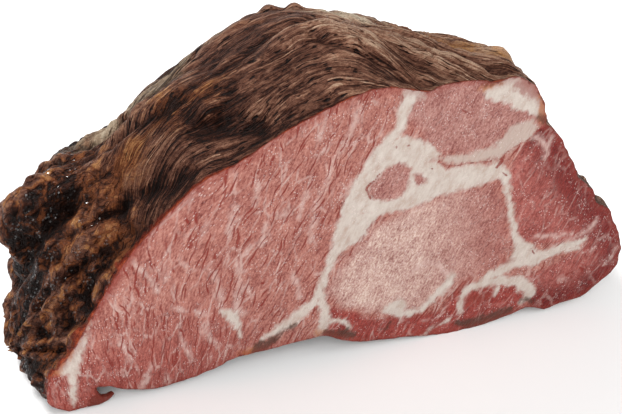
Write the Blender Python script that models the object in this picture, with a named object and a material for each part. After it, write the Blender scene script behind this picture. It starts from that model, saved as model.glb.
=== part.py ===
"""Smoked pork collar: the half of a cured and smoked neck of pork that is left after one knife cut.

The piece rests on its flattened underside. The flat cut faces -Y and is as wide as the whole piece; behind it
the bark-brown skin swells over a blunt left end and a crown, and closes at a rounded back. Folds and crags in
the skin run lengthwise, from the left toe to the right end, as the muscle beneath them does. A thin shred of
meat that the knife tore loose hangs in the notch under the left toe.

Sizes are in millimetres until the mesh is written. X runs along the cut, Y from the cut to the back, Z up.
"""

import math

import bmesh
import bpy
from mathutils import Vector, noise

MM = 0.001

# Driving sizes of the piece.
LOAF_DEPTH = 96.0  # from the cut to the back
SWELL_DEPTH = 34.0  # where the skin has grown from the cut's outline to the loaf's own
BACK_CENTRE = Vector((-4.0, 28.0))  # x and z of the point on which the back closes
# How blunt the back is. 1 closes it as an ellipse and less makes it boxier.
PLAN_BLUNTNESS_LOW = 0.78  # in plan, on the lower slopes
PLAN_BLUNTNESS_HIGH = 1.05  # in plan, near the crown
BLUNTNESS_CHANGE_FROM, BLUNTNESS_CHANGE_OVER = 30.0, 45.0  # heights over which these change
HEIGHT_BLUNTNESS_CROWN = 1.0  # in height, near the crown
HEIGHT_BLUNTNESS_SHOULDER = 1.8  # in height, on the lower slopes
HEIGHT_BLUNTNESS_BELOW = 0.36  # in height, below the point where the back closes
WAIST_HEIGHT = 16.0  # over this height each side of that point one bluntness passes into the other

# The outline of the cut, clockwise from the left toe, in four runs. Each point is (x, z).
CUT_LEFT_SLOPE = (
    (-79.5, 0.8), (-84.0, 4.0), (-85.0, 8.0), (-83.0, 15.0), (-77.0, 22.0), (-71.0, 32.0), (-66.0, 40.5),
    (-60.5, 49.0), (-54.0, 56.5), (-46.0, 64.0), (-39.0, 70.0), (-29.0, 74.0), (-19.5, 79.5), (-9.5, 84.0),
    (0.0, 87.5), (7.0, 89.3),
)
CUT_CROWN = (
    (7.0, 89.3), (13.0, 88.7), (22.0, 85.7), (26.0, 86.8), (35.0, 86.6), (41.0, 85.0), (47.0, 85.5),
    (51.0, 83.3),
)
CUT_RIGHT_FLANK = (
    (51.0, 83.3), (54.7, 78.5), (56.8, 72.0), (57.2, 68.5), (60.5, 65.0), (63.0, 60.5), (66.0, 54.5),
    (69.5, 47.0), (73.7, 42.5), (75.0, 38.0), (79.0, 35.0), (81.5, 29.5), (84.0, 23.5), (85.0, 18.0),
)
CUT_UNDERSIDE = (
    (85.0, 18.0), (84.5, 13.0), (82.0, 9.7), (78.0, 6.5), (74.0, 3.4), (67.0, 2.6), (62.5, 1.4), (57.0, 3.6),
    (51.0, 2.2), (41.0, 0.4), (30.0, 0.2), (20.0, 1.8), (8.0, 3.4), (1.0, 5.2), (-6.0, 8.9), (-14.0, 8.6),
    (-27.0, 8.0), (-33.0, 7.4), (-37.0, 5.6), (-45.0, 3.6), (-55.0, 2.6), (-63.0, 4.5), (-69.0, 7.4),
    (-71.8, 6.8), (-72.0, 3.6), (-74.5, 1.3), (-79.5, 0.8),
)
# The loaf's own outline, which the skin grows to behind the cut, in the same four runs.
LOAF_LEFT_END = (
    (-84.0, -4.0), (-94.0, 4.0), (-93.0, 18.0), (-92.0, 32.0), (-93.5, 47.5), (-85.0, 55.5), (-66.0, 61.0),
    (-49.0, 73.0), (-33.0, 83.0), (-16.0, 91.0), (0.0, 95.0), (10.0, 93.0),
)
LOAF_CROWN = ((10.0, 93.0), (25.0, 88.0), (36.0, 85.0), (46.0, 81.0), (54.0, 79.5))
LOAF_RIGHT_END = ((54.0, 79.5), (58.5, 66.0), (67.0, 52.0), (74.0, 39.0), (80.0, 26.0), (80.0, 13.0))
LOAF_UNDERSIDE = ((80.0, 13.0), (76.0, 1.0), (62.0, -5.0), (30.0, -6.0), (-50.0, -6.0), (-84.0, -4.0))

RUN_COLUMNS = (38, 15, 22, 47)  # columns of skin along each of the four runs
SKIN_ROWS = 34  # rows of skin from the cut to the back
CUT_SPACING = 3.6  # side of a square of the cut's grid

# The grain of the muscle winds round a line from the left toe to the middle of the right end.
GRAIN_TOE = Vector((-88.0, 26.0, 4.0))
GRAIN_END = Vector((82.0, 26.0, 42.0))
GRAIN_RADIUS = 55.0
CROWN_DRIFT = 70.0  # how far round the grain of the right half drifts towards the cut
CROWN_DRIFT_FROM = 0.0
CROWN_DRIFT_TO = 75.0
GRAIN_SWAY_SIZE, GRAIN_SWAY = 20.0, 2.4  # the grain sways from side to side by this much
GRAIN_SWAY_SEED = 1795487153  # which of the patterns of noise the sway follows

LUMP_SIZE, LUMP_HEIGHT = 24.0, 2.2
FOLD_LENGTH, FOLD_WIDTH, FOLD_HEIGHT = 34.0, 9.5, 1.9
RIPPLE_LENGTH, RIPPLE_WIDTH, RIPPLE_HEIGHT = 15.0, 6.0, 0.9
FOLD_LEVEL = 0.45  # sets the middle of the folds level with the skin
FOLD_SHIFT, RIPPLE_SHIFT = Vector((7.0, 3.0, 1.0)), Vector((2.0, 9.0, 4.0))  # parts the patterns of the noise
RIM_CALM = 7.0  # the relief fades out over this distance from the cut
FLANK_CALM = 16.0  # and over this much more on the right flank
FLANK_FROM, FLANK_OVER = 53.0, 8.0
FLOOR_CALM = 6.0  # and over this height above the underside

# Deep creases in the skin: points along each, its half width and its depth.
CREASES = (
    (((-92.0, 38.0, 18.0), (-89.0, 25.0, 33.0), (-83.0, 23.0, 44.0), (-72.0, 23.0, 54.0)), 4.0, 7.0),
    (((-70.0, 0.0, 32.0), (-73.0, 9.0, 37.0), (-75.0, 16.0, 42.0)), 2.6, 2.2),
    (((-57.0, 0.0, 52.0), (-59.0, 8.0, 55.0), (-57.0, 19.0, 61.0)), 2.4, 2.0),
    (((-48.0, 26.0, 69.0), (-43.0, 28.0, 74.0), (-38.0, 30.0, 78.0)), 2.4, 2.0),
    (((-38.0, 21.0, 75.0), (-30.0, 14.0, 77.0), (-22.0, 9.0, 80.0)), 4.0, 2.2),
    (((25.0, 2.0, 86.0), (12.0, 16.0, 91.0), (0.0, 28.0, 93.0)), 2.8, 1.8),
    (((46.0, 3.0, 85.0), (42.0, 10.0, 85.0), (34.0, 22.0, 86.0)), 3.6, 2.8),
    (((-62.0, 44.0, 53.0), (-48.0, 48.0, 62.0), (-30.0, 54.0, 71.0)), 3.4, 2.0),
    (((-80.0, 56.0, 38.0), (-68.0, 68.0, 40.0), (-56.0, 73.0, 45.0)), 13.0, 7.0),
    (((34.0, 60.0, 70.0), (46.0, 52.0, 68.0)), 9.0, 3.0),
)
# Crags that stand up from the crown and a swelling above the left toe: the middle of each, its radius and height.
CRAGS = (((-2.0, 66.0, 79.0), 3.0, 2.8), ((4.0, 60.0, 82.0), 3.0, 2.6), ((-88.0, 10.0, 9.0), 9.0, 2.6))

CUT_CROWNING = 0.9  # how far the middle of the cut stands proud of its rim
CUT_CROWNING_WIDTH = 9.0
CUT_UNEVEN_SIZE, CUT_UNEVEN_HEIGHT = 15.0, 0.55

# The torn shred, as an outline in the plane of the cut, and how thick it is.
SHRED_OUTLINE = (
    (-78.0, 2.4), (-74.0, 1.0), (-70.8, 1.0), (-68.2, 2.0), (-66.3, 4.0), (-68.3, 3.2), (-70.0, 3.4),
    (-70.9, 5.2), (-71.4, 7.2), (-76.0, 9.0),
)
SHRED_FRONT = -0.2
SHRED_THICKNESS = 1.8
SHRED_BACK_SCALE = 0.86


def clear_scene():
    """Remove whatever the scene holds."""
    for old in list(bpy.data.objects):
        bpy.data.objects.remove(old)


def smooth_step(value):
    """Ease from 0 to 1 as value goes from 0 to 1."""
    value = min(1.0, max(0.0, value))
    return value * value * (3.0 - 2.0 * value)


def spline_point(points, place):
    """The point at place (0 to 1 along the chords) of a Catmull-Rom spline through the points."""
    lengths = [math.dist(a, b) for a, b in zip(points, points[1:])]
    left = place * sum(lengths)
    span = 0
    while span < len(lengths) - 1 and left > lengths[span]:
        left -= lengths[span]
        span += 1
    t = left / lengths[span]
    p1, p2 = Vector(points[span]), Vector(points[span + 1])
    p0 = Vector(points[span - 1]) if span else p1 * 2 - p2
    p3 = Vector(points[span + 2]) if span + 2 < len(points) else p2 * 2 - p1
    slope_1, slope_2 = (p2 - p0) / 2, (p3 - p1) / 2
    return (
        p1 * (2 * t**3 - 3 * t**2 + 1)
        + slope_1 * (t**3 - 2 * t**2 + t)
        + p2 * (3 * t**2 - 2 * t**3)
        + slope_2 * (t**3 - t**2)
    )


def outline_points(runs):
    """Columns of points round a closed outline that is given in four runs."""
    points = []
    for run, columns in zip(runs, RUN_COLUMNS):
        points += [spline_point(run, column / columns) for column in range(columns)]
    return points


CUT_OUTLINE = outline_points((CUT_LEFT_SLOPE, CUT_CROWN, CUT_RIGHT_FLANK, CUT_UNDERSIDE))
LOAF_OUTLINE = outline_points((LOAF_LEFT_END, LOAF_CROWN, LOAF_RIGHT_END, LOAF_UNDERSIDE))
COLUMNS = len(CUT_OUTLINE)


def skin_point(column, share):
    """Where a column of skin is, share of the way from the cut (0) to the back (1), before any relief."""
    turn = share * math.pi / 2
    depth = LOAF_DEPTH * math.sin(turn)
    grown = smooth_step(depth / SWELL_DEPTH)
    x, z = CUT_OUTLINE[column].lerp(LOAF_OUTLINE[column], grown)
    left = max(0.0, math.cos(turn))
    high = smooth_step((z - BLUNTNESS_CHANGE_FROM) / BLUNTNESS_CHANGE_OVER)
    plan_closing = left ** (PLAN_BLUNTNESS_LOW * (1 - high) + PLAN_BLUNTNESS_HIGH * high)
    above = smooth_step((z - BACK_CENTRE.y) / (2 * WAIST_HEIGHT) + 0.5)
    slope_bluntness = HEIGHT_BLUNTNESS_SHOULDER * (1 - high) + HEIGHT_BLUNTNESS_CROWN * high
    height_closing = left ** (HEIGHT_BLUNTNESS_BELOW * (1 - above) + slope_bluntness * above)
    return Vector(
        (
            BACK_CENTRE.x + (x - BACK_CENTRE.x) * plan_closing,
            depth,
            BACK_CENTRE.y + (z - BACK_CENTRE.y) * height_closing,
        )
    )


def grain_place(point):
    """The point in coordinates that follow the grain: x along it, the other two on a circle round it."""
    point = point + noise.noise_vector(point / GRAIN_SWAY_SIZE) * GRAIN_SWAY
    share = (point.x - GRAIN_TOE.x) / (GRAIN_END.x - GRAIN_TOE.x)
    centre = GRAIN_TOE.lerp(GRAIN_END, share)
    turn = math.atan2(point.z - centre.z, point.y - centre.y)
    drift = smooth_step((point.x - CROWN_DRIFT_FROM) / (CROWN_DRIFT_TO - CROWN_DRIFT_FROM))
    turn -= drift * CROWN_DRIFT / GRAIN_RADIUS
    return Vector((point.x, GRAIN_RADIUS * math.cos(turn), GRAIN_RADIUS * math.sin(turn)))


def along_grain(place, length, width):
    """A point of noise space whose pattern is length long and width wide on the skin."""
    return Vector((place.x / length, place.y / width, place.z / width))


def segment_distance(point, a, b):
    """How far the point is from the segment from a to b."""
    along = b - a
    share = min(1.0, max(0.0, (point - a).dot(along) / along.length_squared))
    return (point - a - along * share).length


def crease_depth(point):
    """How deep the creases are at the point."""
    deepest = 0.0
    for stops, half_width, depth in CREASES:
        stops = [Vector(stop) for stop in stops]
        near = min(segment_distance(point, a, b) for a, b in zip(stops, stops[1:]))
        deepest = max(deepest, depth * math.exp(-((near / half_width) ** 2)))
    return deepest


def crag_height(point):
    """How high the crags and the swelling are at the point."""
    total = 0.0
    for top, radius, height in CRAGS:
        total += height * math.exp(-(((point - Vector(top)).length / radius) ** 2))
    return total


def skin_relief(point):
    """How far the skin stands out at the point: lumps, sharp-valleyed folds, ripples, creases and crags."""
    place = grain_place(point)
    lumps = LUMP_HEIGHT * noise.noise(point / LUMP_SIZE)
    fold = noise.noise(along_grain(place, FOLD_LENGTH, FOLD_WIDTH) + FOLD_SHIFT)
    folds = FOLD_HEIGHT * (2.0 * abs(fold) - FOLD_LEVEL)
    ripples = RIPPLE_HEIGHT * noise.noise(along_grain(place, RIPPLE_LENGTH, RIPPLE_WIDTH) + RIPPLE_SHIFT)
    reach = RIM_CALM + FLANK_CALM * smooth_step((point.x - FLANK_FROM) / FLANK_OVER)
    calm = smooth_step(point.y / reach) * smooth_step(point.z / FLOOR_CALM)
    return calm * (lumps + folds + ripples - crease_depth(point) + crag_height(point))


def wrap_skin(bm):
    """A grid, its columns round the outline and its rows from the cut to the back, wrapped into the skin."""
    half = 0.5
    sheet = bmesh.ops.create_grid(bm, x_segments=COLUMNS, y_segments=SKIN_ROWS, size=half)["verts"]
    for vert in sheet:
        column = round((vert.co.x + half) * COLUMNS) % COLUMNS
        vert.co = skin_point(column, vert.co.y + half)
    bmesh.ops.remove_doubles(bm, verts=bm.verts, dist=0.001)
    bmesh.ops.recalc_face_normals(bm, faces=bm.faces)
    bm.normal_update()
    raised = {vert: vert.co + vert.normal * skin_relief(vert.co) for vert in bm.verts}
    for vert, place in raised.items():
        vert.co = place
        if place.y < SWELL_DEPTH:
            vert.co.y = max(place.y, 0.0)
        vert.co.z = max(vert.co.z, 0.0)


def rim_distance(x, z):
    """How far inside the cut's outline a point is, or a negative distance outside it."""
    point = Vector((x, z))
    inside = False
    nearest = math.inf
    for a, b in zip(CUT_OUTLINE, CUT_OUTLINE[1:] + CUT_OUTLINE[:1]):
        nearest = min(nearest, segment_distance(point, a, b))
        if (a.y > z) != (b.y > z) and x < a.x + (z - a.y) / (b.y - a.y) * (b.x - a.x):
            inside = not inside
    return nearest if inside else -nearest


def cut_relief(x, z, inside):
    """How far the cut stands out towards the knife: crowned and uneven, and level at its rim."""
    rise = smooth_step(inside / CUT_CROWNING_WIDTH)
    uneven = CUT_UNEVEN_HEIGHT * noise.noise(Vector((x, z, 3.0)) / CUT_UNEVEN_SIZE)
    return rise * (CUT_CROWNING + uneven)


def fill_cut(bm):
    """Close the open front of the skin: a grid inside the rim, and a band of triangles between them."""
    rim = [edge for edge in bm.edges if edge.is_boundary]
    low = Vector((min(p.x for p in CUT_OUTLINE), min(p.y for p in CUT_OUTLINE)))
    high = Vector((max(p.x for p in CUT_OUTLINE), max(p.y for p in CUT_OUTLINE)))
    wide, tall = high - low
    grid = bmesh.ops.create_grid(
        bm, x_segments=round(wide / CUT_SPACING), y_segments=round(tall / CUT_SPACING), size=0.5
    )["verts"]
    spare = []
    for vert in grid:
        x, z = low.x + (vert.co.x + 0.5) * wide, low.y + (vert.co.y + 0.5) * tall
        inside = rim_distance(x, z)
        vert.co = Vector((x, -cut_relief(x, z, inside), z))
        if inside < CUT_SPACING * 0.6:
            spare.append(vert)
    bmesh.ops.delete(bm, geom=spare, context="VERTS")
    bmesh.ops.delete(bm, geom=[v for v in bm.verts if not v.link_faces], context="VERTS")
    border = [edge for edge in bm.edges if edge.is_boundary and edge not in set(rim)]
    bmesh.ops.triangle_fill(bm, edges=rim + border, use_beauty=True, normal=(0.0, -1.0, 0.0))
    front = [face for face in bm.faces if all(vert.co.y <= 0.0 for vert in face.verts)]
    front = bmesh.ops.triangulate(bm, faces=front)["faces"]
    inner = dict.fromkeys(edge for face in front for edge in face.edges)
    for edge in rim:
        inner.pop(edge, None)
    bmesh.ops.beautify_fill(bm, faces=front, edges=list(inner), method="ANGLE")


def meat_material():
    """The brown of the smoked skin, which covers most of the piece."""
    material = bpy.data.materials.new("smoked_pork")
    material.use_nodes = True
    shader = material.node_tree.nodes["Principled BSDF"]
    shader.inputs["Base Color"].default_value = (0.20, 0.085, 0.042, 1.0)
    shader.inputs["Roughness"].default_value = 0.45
    shader.inputs["Metallic"].default_value = 0.0
    return material


def to_object(bm, name):
    """Turn a bmesh in millimetres into an object in metres, faces outwards."""
    bmesh.ops.recalc_face_normals(bm, faces=bm.faces)
    bmesh.ops.scale(bm, vec=(MM, MM, MM), verts=bm.verts)
    mesh = bpy.data.meshes.new(name)
    bm.to_mesh(mesh)
    bm.free()
    made = bpy.data.objects.new(name, mesh)
    bpy.context.collection.objects.link(made)
    return made


def torn_shred():
    """The loose shred: its outline extruded back from the plane of the cut and narrowed a little."""
    bm = bmesh.new()
    front = bm.faces.new([bm.verts.new((x, SHRED_FRONT, z)) for x, z in SHRED_OUTLINE])
    back = bmesh.ops.extrude_face_region(bm, geom=[front])["geom"]
    back = [item for item in back if isinstance(item, bmesh.types.BMVert)]
    centre = sum((vert.co for vert in back), Vector()) / len(back)
    for vert in back:
        vert.co = centre + (vert.co - centre) * SHRED_BACK_SCALE
        vert.co.y += SHRED_THICKNESS
    bmesh.ops.triangulate(bm, faces=bm.faces)
    return to_object(bm, "torn_shred")


def collar():
    """The whole piece: skin, cut and the shred that still hangs on it, centred over the origin."""
    bm = bmesh.new()
    wrap_skin(bm)
    fill_cut(bm)
    bmesh.ops.triangulate(bm, faces=bm.faces)
    loaf = to_object(bm, "smoked_pork_collar")
    shred = torn_shred()
    union = loaf.modifiers.new("torn_shred", "BOOLEAN")
    union.operation = "UNION"
    union.object = shred
    shred.hide_render = True
    shred.display_type = "WIRE"
    corners = [Vector(corner) for corner in loaf.bound_box]
    middle = (corners[0] + corners[6]) / 2
    for piece in (loaf, shred):
        piece.location = (-middle.x, -middle.y, 0.0)
    loaf.data.materials.append(meat_material())
    loaf.data.shade_smooth()
    loaf.data.set_sharp_from_angle(angle=math.radians(50))


clear_scene()
noise.seed_set(GRAIN_SWAY_SEED)
collar()
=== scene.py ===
"""The looks of a smoked pork collar: brown folded skin, and a cut face with its muscles and seams of fat.

Everything is worked out in the cut's own frame, in millimetres: X runs along the cut, Y from the cut to the
back and Z up from the table. The finished mesh is then moved into the part's frame, in metres.
"""

import logging
import math
from dataclasses import dataclass, field
from enum import Enum

import bmesh
import bpy
import numpy as np
from mathutils import Matrix, Vector, noise


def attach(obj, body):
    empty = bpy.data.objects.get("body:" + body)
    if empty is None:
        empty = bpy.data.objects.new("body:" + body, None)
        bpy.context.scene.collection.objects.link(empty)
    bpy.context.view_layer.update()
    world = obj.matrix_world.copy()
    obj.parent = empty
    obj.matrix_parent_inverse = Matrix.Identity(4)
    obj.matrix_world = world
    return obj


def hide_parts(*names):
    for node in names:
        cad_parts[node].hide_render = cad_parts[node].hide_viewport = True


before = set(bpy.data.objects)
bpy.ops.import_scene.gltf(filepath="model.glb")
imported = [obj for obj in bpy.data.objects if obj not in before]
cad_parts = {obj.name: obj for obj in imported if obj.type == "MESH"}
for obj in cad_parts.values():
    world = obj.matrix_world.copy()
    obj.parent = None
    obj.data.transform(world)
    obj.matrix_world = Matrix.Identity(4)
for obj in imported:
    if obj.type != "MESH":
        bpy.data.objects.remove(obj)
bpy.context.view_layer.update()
LOG = logging.getLogger("collar")

MM = 0.001
LEFT_LEAN = math.radians(58.0)  # how steeply the wrinkles of the left end rise
NODE = "smoked_pork_collar"
TO_PART = Vector((3.031, -47.615, 0.0))  # from the cut's frame to the part's, in millimetres
GRAIN_SEED = 1795487153  # which of the patterns of noise the sway of the grain follows
LIT_SHARE = 0.72  # how much of a colour seen in this light is the surface's own

Stops = tuple[tuple[float, ...], ...]
Socket = bpy.types.NodeSocket
Feed = Socket | float | tuple[float, ...]
Sizes = tuple[float, float, float]
Spots = tuple[tuple[tuple[float, float, float], float, float], ...]
Ramp = tuple[tuple[float, tuple[float, ...]], ...]
AS_IT_IS = (1.0, 1.0, 1.0)


def tone(red: int, green: int, blue: int) -> tuple[float, float, float, float]:
    """The surface's own colour, as sockets hold it, from the colour that it shows in the studio's light.

    Args:
        red: Red, 0 to 255.
        green: Green, 0 to 255.
        blue: Blue, 0 to 255.

    Returns:
        The linear colour, opaque.
    """
    shares = (part / 255 for part in (red, green, blue))
    linear = [share / 12.92 if share < 0.0405 else ((share + 0.055) / 1.055) ** 2.4 for share in shares]
    return (linear[0] * LIT_SHARE, linear[1] * LIT_SHARE, linear[2] * LIT_SHARE, 1.0)


def smooth_step(value: float) -> float:
    """Ease from 0 to 1 as value goes from 0 to 1.

    Args:
        value: Any number.

    Returns:
        The eased share.
    """
    value = min(1.0, max(0.0, value))
    return value * value * (3.0 - 2.0 * value)


def ease(values: np.ndarray, start: float, end: float) -> np.ndarray:
    """Ease an array from 0 at start to 1 at end.

    Args:
        values: The numbers to ease.
        start: Where the share is 0.
        end: Where the share is 1.

    Returns:
        The eased shares.
    """
    share = np.clip((values - start) / (end - start), 0.0, 1.0)
    return share * share * (3.0 - 2.0 * share)


def spline_point(points: Stops, place: float) -> Vector:
    """The point at a place on a Catmull-Rom spline.

    Args:
        points: What the spline runs through.
        place: 0 to 1, measured along the chords.

    Returns:
        The point.
    """
    lengths = [math.dist(a, b) for a, b in zip(points, points[1:])]
    left = place * sum(lengths)
    span = 0
    while span < len(lengths) - 1 and left > lengths[span]:
        left -= lengths[span]
        span += 1
    t = left / lengths[span]
    p1, p2 = Vector(points[span]), Vector(points[span + 1])
    p0 = Vector(points[span - 1]) if span else p1 * 2 - p2
    p3 = Vector(points[span + 2]) if span + 2 < len(points) else p2 * 2 - p1
    slope_1, slope_2 = (p2 - p0) / 2, (p3 - p1) / 2
    return (
        p1 * (2 * t**3 - 3 * t**2 + 1)
        + slope_1 * (t**3 - 2 * t**2 + t)
        + p2 * (3 * t**2 - 2 * t**3)
        + slope_2 * (t**3 - t**2)
    )


def along_grain(place: Vector, length: float, width: float) -> Vector:
    """A point of noise space whose pattern follows the grain.

    Args:
        place: A point in grain coordinates.
        length: Length of the pattern along the grain.
        width: Its width across the grain.

    Returns:
        The point to read the noise at.
    """
    return Vector((place.x / length, place.y / width, place.z / width))


def segment_distance(point: Vector, a: Vector, b: Vector) -> float:
    """How far a point is from the segment from a to b.

    Args:
        point: The point.
        a: One end.
        b: The other end.

    Returns:
        The distance.
    """
    along = b - a
    share = min(1.0, max(0.0, (point - a).dot(along) / along.length_squared))
    return (point - a - along * share).length


def strip(points: np.ndarray, stops: Stops) -> np.ndarray:
    """How far each point is inside a strip that follows a line, and negative outside it.

    Args:
        points: Rows of x and z.
        stops: x, z and half width of the strip at each stop of its line.

    Returns:
        The signed distances.
    """
    best = np.full(len(points), -1e3)
    ends = list(zip(stops, stops[1:])) or [(stops[0], stops[0])]
    for start, end in ends:
        a, along = np.array(start[:2]), np.subtract(end[:2], start[:2])
        share = np.clip((points - a) @ along / max(along @ along, 1e-9), 0.0, 1.0)
        away = np.linalg.norm(points - a - share[:, None] * along, axis=1)
        best = np.maximum(best, start[2] + (end[2] - start[2]) * share - away)
    return best


def patch(points: np.ndarray, outline: Stops) -> np.ndarray:
    """How far each point is inside a closed outline, and negative outside it.

    Args:
        points: Rows of x and z.
        outline: The outline's corners.

    Returns:
        The signed distances.
    """
    inside = np.zeros(len(points), bool)
    nearest = np.full(len(points), 1e3)
    x, z = points[:, 0], points[:, 1]
    for start, end in zip(outline, outline[1:] + outline[:1]):
        a, along = np.array(start[:2]), np.subtract(end[:2], start[:2])
        share = np.clip((points - a) @ along / max(along @ along, 1e-9), 0.0, 1.0)
        nearest = np.minimum(nearest, np.linalg.norm(points - a - share[:, None] * along, axis=1))
        if start[1] != end[1]:
            crossing = a[0] + (z - a[1]) / along[1] * along[0]
            inside ^= ((start[1] > z) != (end[1] > z)) & (x < crossing)
    return np.where(inside, nearest, -nearest)


def union(points: np.ndarray, strips: tuple[Stops, ...] = (), patches: tuple[Stops, ...] = ()) -> np.ndarray:
    """How far each point is inside the nearest of several strips and patches.

    Args:
        points: Rows of x and z.
        strips: Strips, as strip takes them.
        patches: Outlines, as patch takes them.

    Returns:
        The signed distances, no lower than -20.
    """
    best = np.full(len(points), -20.0)
    for stops in strips:
        best = np.maximum(best, strip(points, stops))
    for outline in patches:
        best = np.maximum(best, patch(points, outline))
    return best


def spot_strengths(places: np.ndarray, spots: Spots) -> list[np.ndarray]:
    """How strong each of several soft round spots is at each point.

    Args:
        places: Rows of x, y and z.
        spots: The middle, radius and strength of each.

    Returns:
        One array a spot.
    """
    aways = [np.linalg.norm(places - np.array(middle), axis=1) / radius for middle, radius, _ in spots]
    return [strength * np.exp(-(away**2)) for away, (_, _, strength) in zip(aways, spots)]


@dataclass
class Grain:
    """The course of the muscle, which winds round a line from the left toe to the middle of the right end."""

    toe: Vector = field(default_factory=lambda: Vector((-88.0, 26.0, 4.0)))
    end: Vector = field(default_factory=lambda: Vector((82.0, 26.0, 42.0)))
    radius: float = 55.0
    crown_drift: float = 70.0
    drift_from: float = 0.0
    drift_to: float = 75.0
    sway_size: float = 20.0
    sway: float = 2.4
    left_drift: float = 42.0  # how far the strands turn down round the left end
    left_from: float = -36.0
    left_to: float = -84.0
    right_from: float = 46.0  # where the strands start to turn across the right end
    right_over: float = 20.0
    pole_reach: float = 36.0

    def right_turn(self, point: Vector, away: float) -> float:
        """How far the strands have turned across the right end.

        Args:
            point: A point on the skin.
            away: Its distance from the line that the muscle winds round.

        Returns:
            From 0, along the piece, to 1, across it.
        """
        near = max(0.0, 1.0 - away / self.pole_reach)
        return smooth_step((point.x - self.right_from) / self.right_over) * near

    def place(self, point: Vector, end_turns: bool = False) -> Vector:
        """The point in coordinates that follow the grain.

        Args:
            point: A point on the skin.
            end_turns: Whether it turns down round the left end and across the right one, as the strands do.

        Returns:
            x along the grain, and y and z on a circle round it.
        """
        point = point + noise.noise_vector(point / self.sway_size) * self.sway
        share = (point.x - self.toe.x) / (self.end.x - self.toe.x)
        centre = self.toe.lerp(self.end, share)
        turn = math.atan2(point.z - centre.z, point.y - centre.y)
        drift = smooth_step((point.x - self.drift_from) / (self.drift_to - self.drift_from))
        turn -= drift * self.crown_drift / self.radius
        if not end_turns:
            return Vector((point.x, self.radius * math.cos(turn), self.radius * math.sin(turn)))
        fall = smooth_step((point.x - self.left_from) / (self.left_to - self.left_from))
        turn -= fall * self.left_drift / self.radius
        ended = self.right_turn(point, math.hypot(point.y - centre.y, point.z - centre.z))
        reach = self.radius * (1.0 - ended)
        spun = Matrix.Rotation(smooth_step(ended * 2.2) * math.pi / 2, 3, "Y")
        spun_place = spun @ Vector((point.x - self.end.x, reach * math.cos(turn), reach * math.sin(turn)))
        return spun_place + Vector((self.end.x, 0.0, 0.0))


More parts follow.
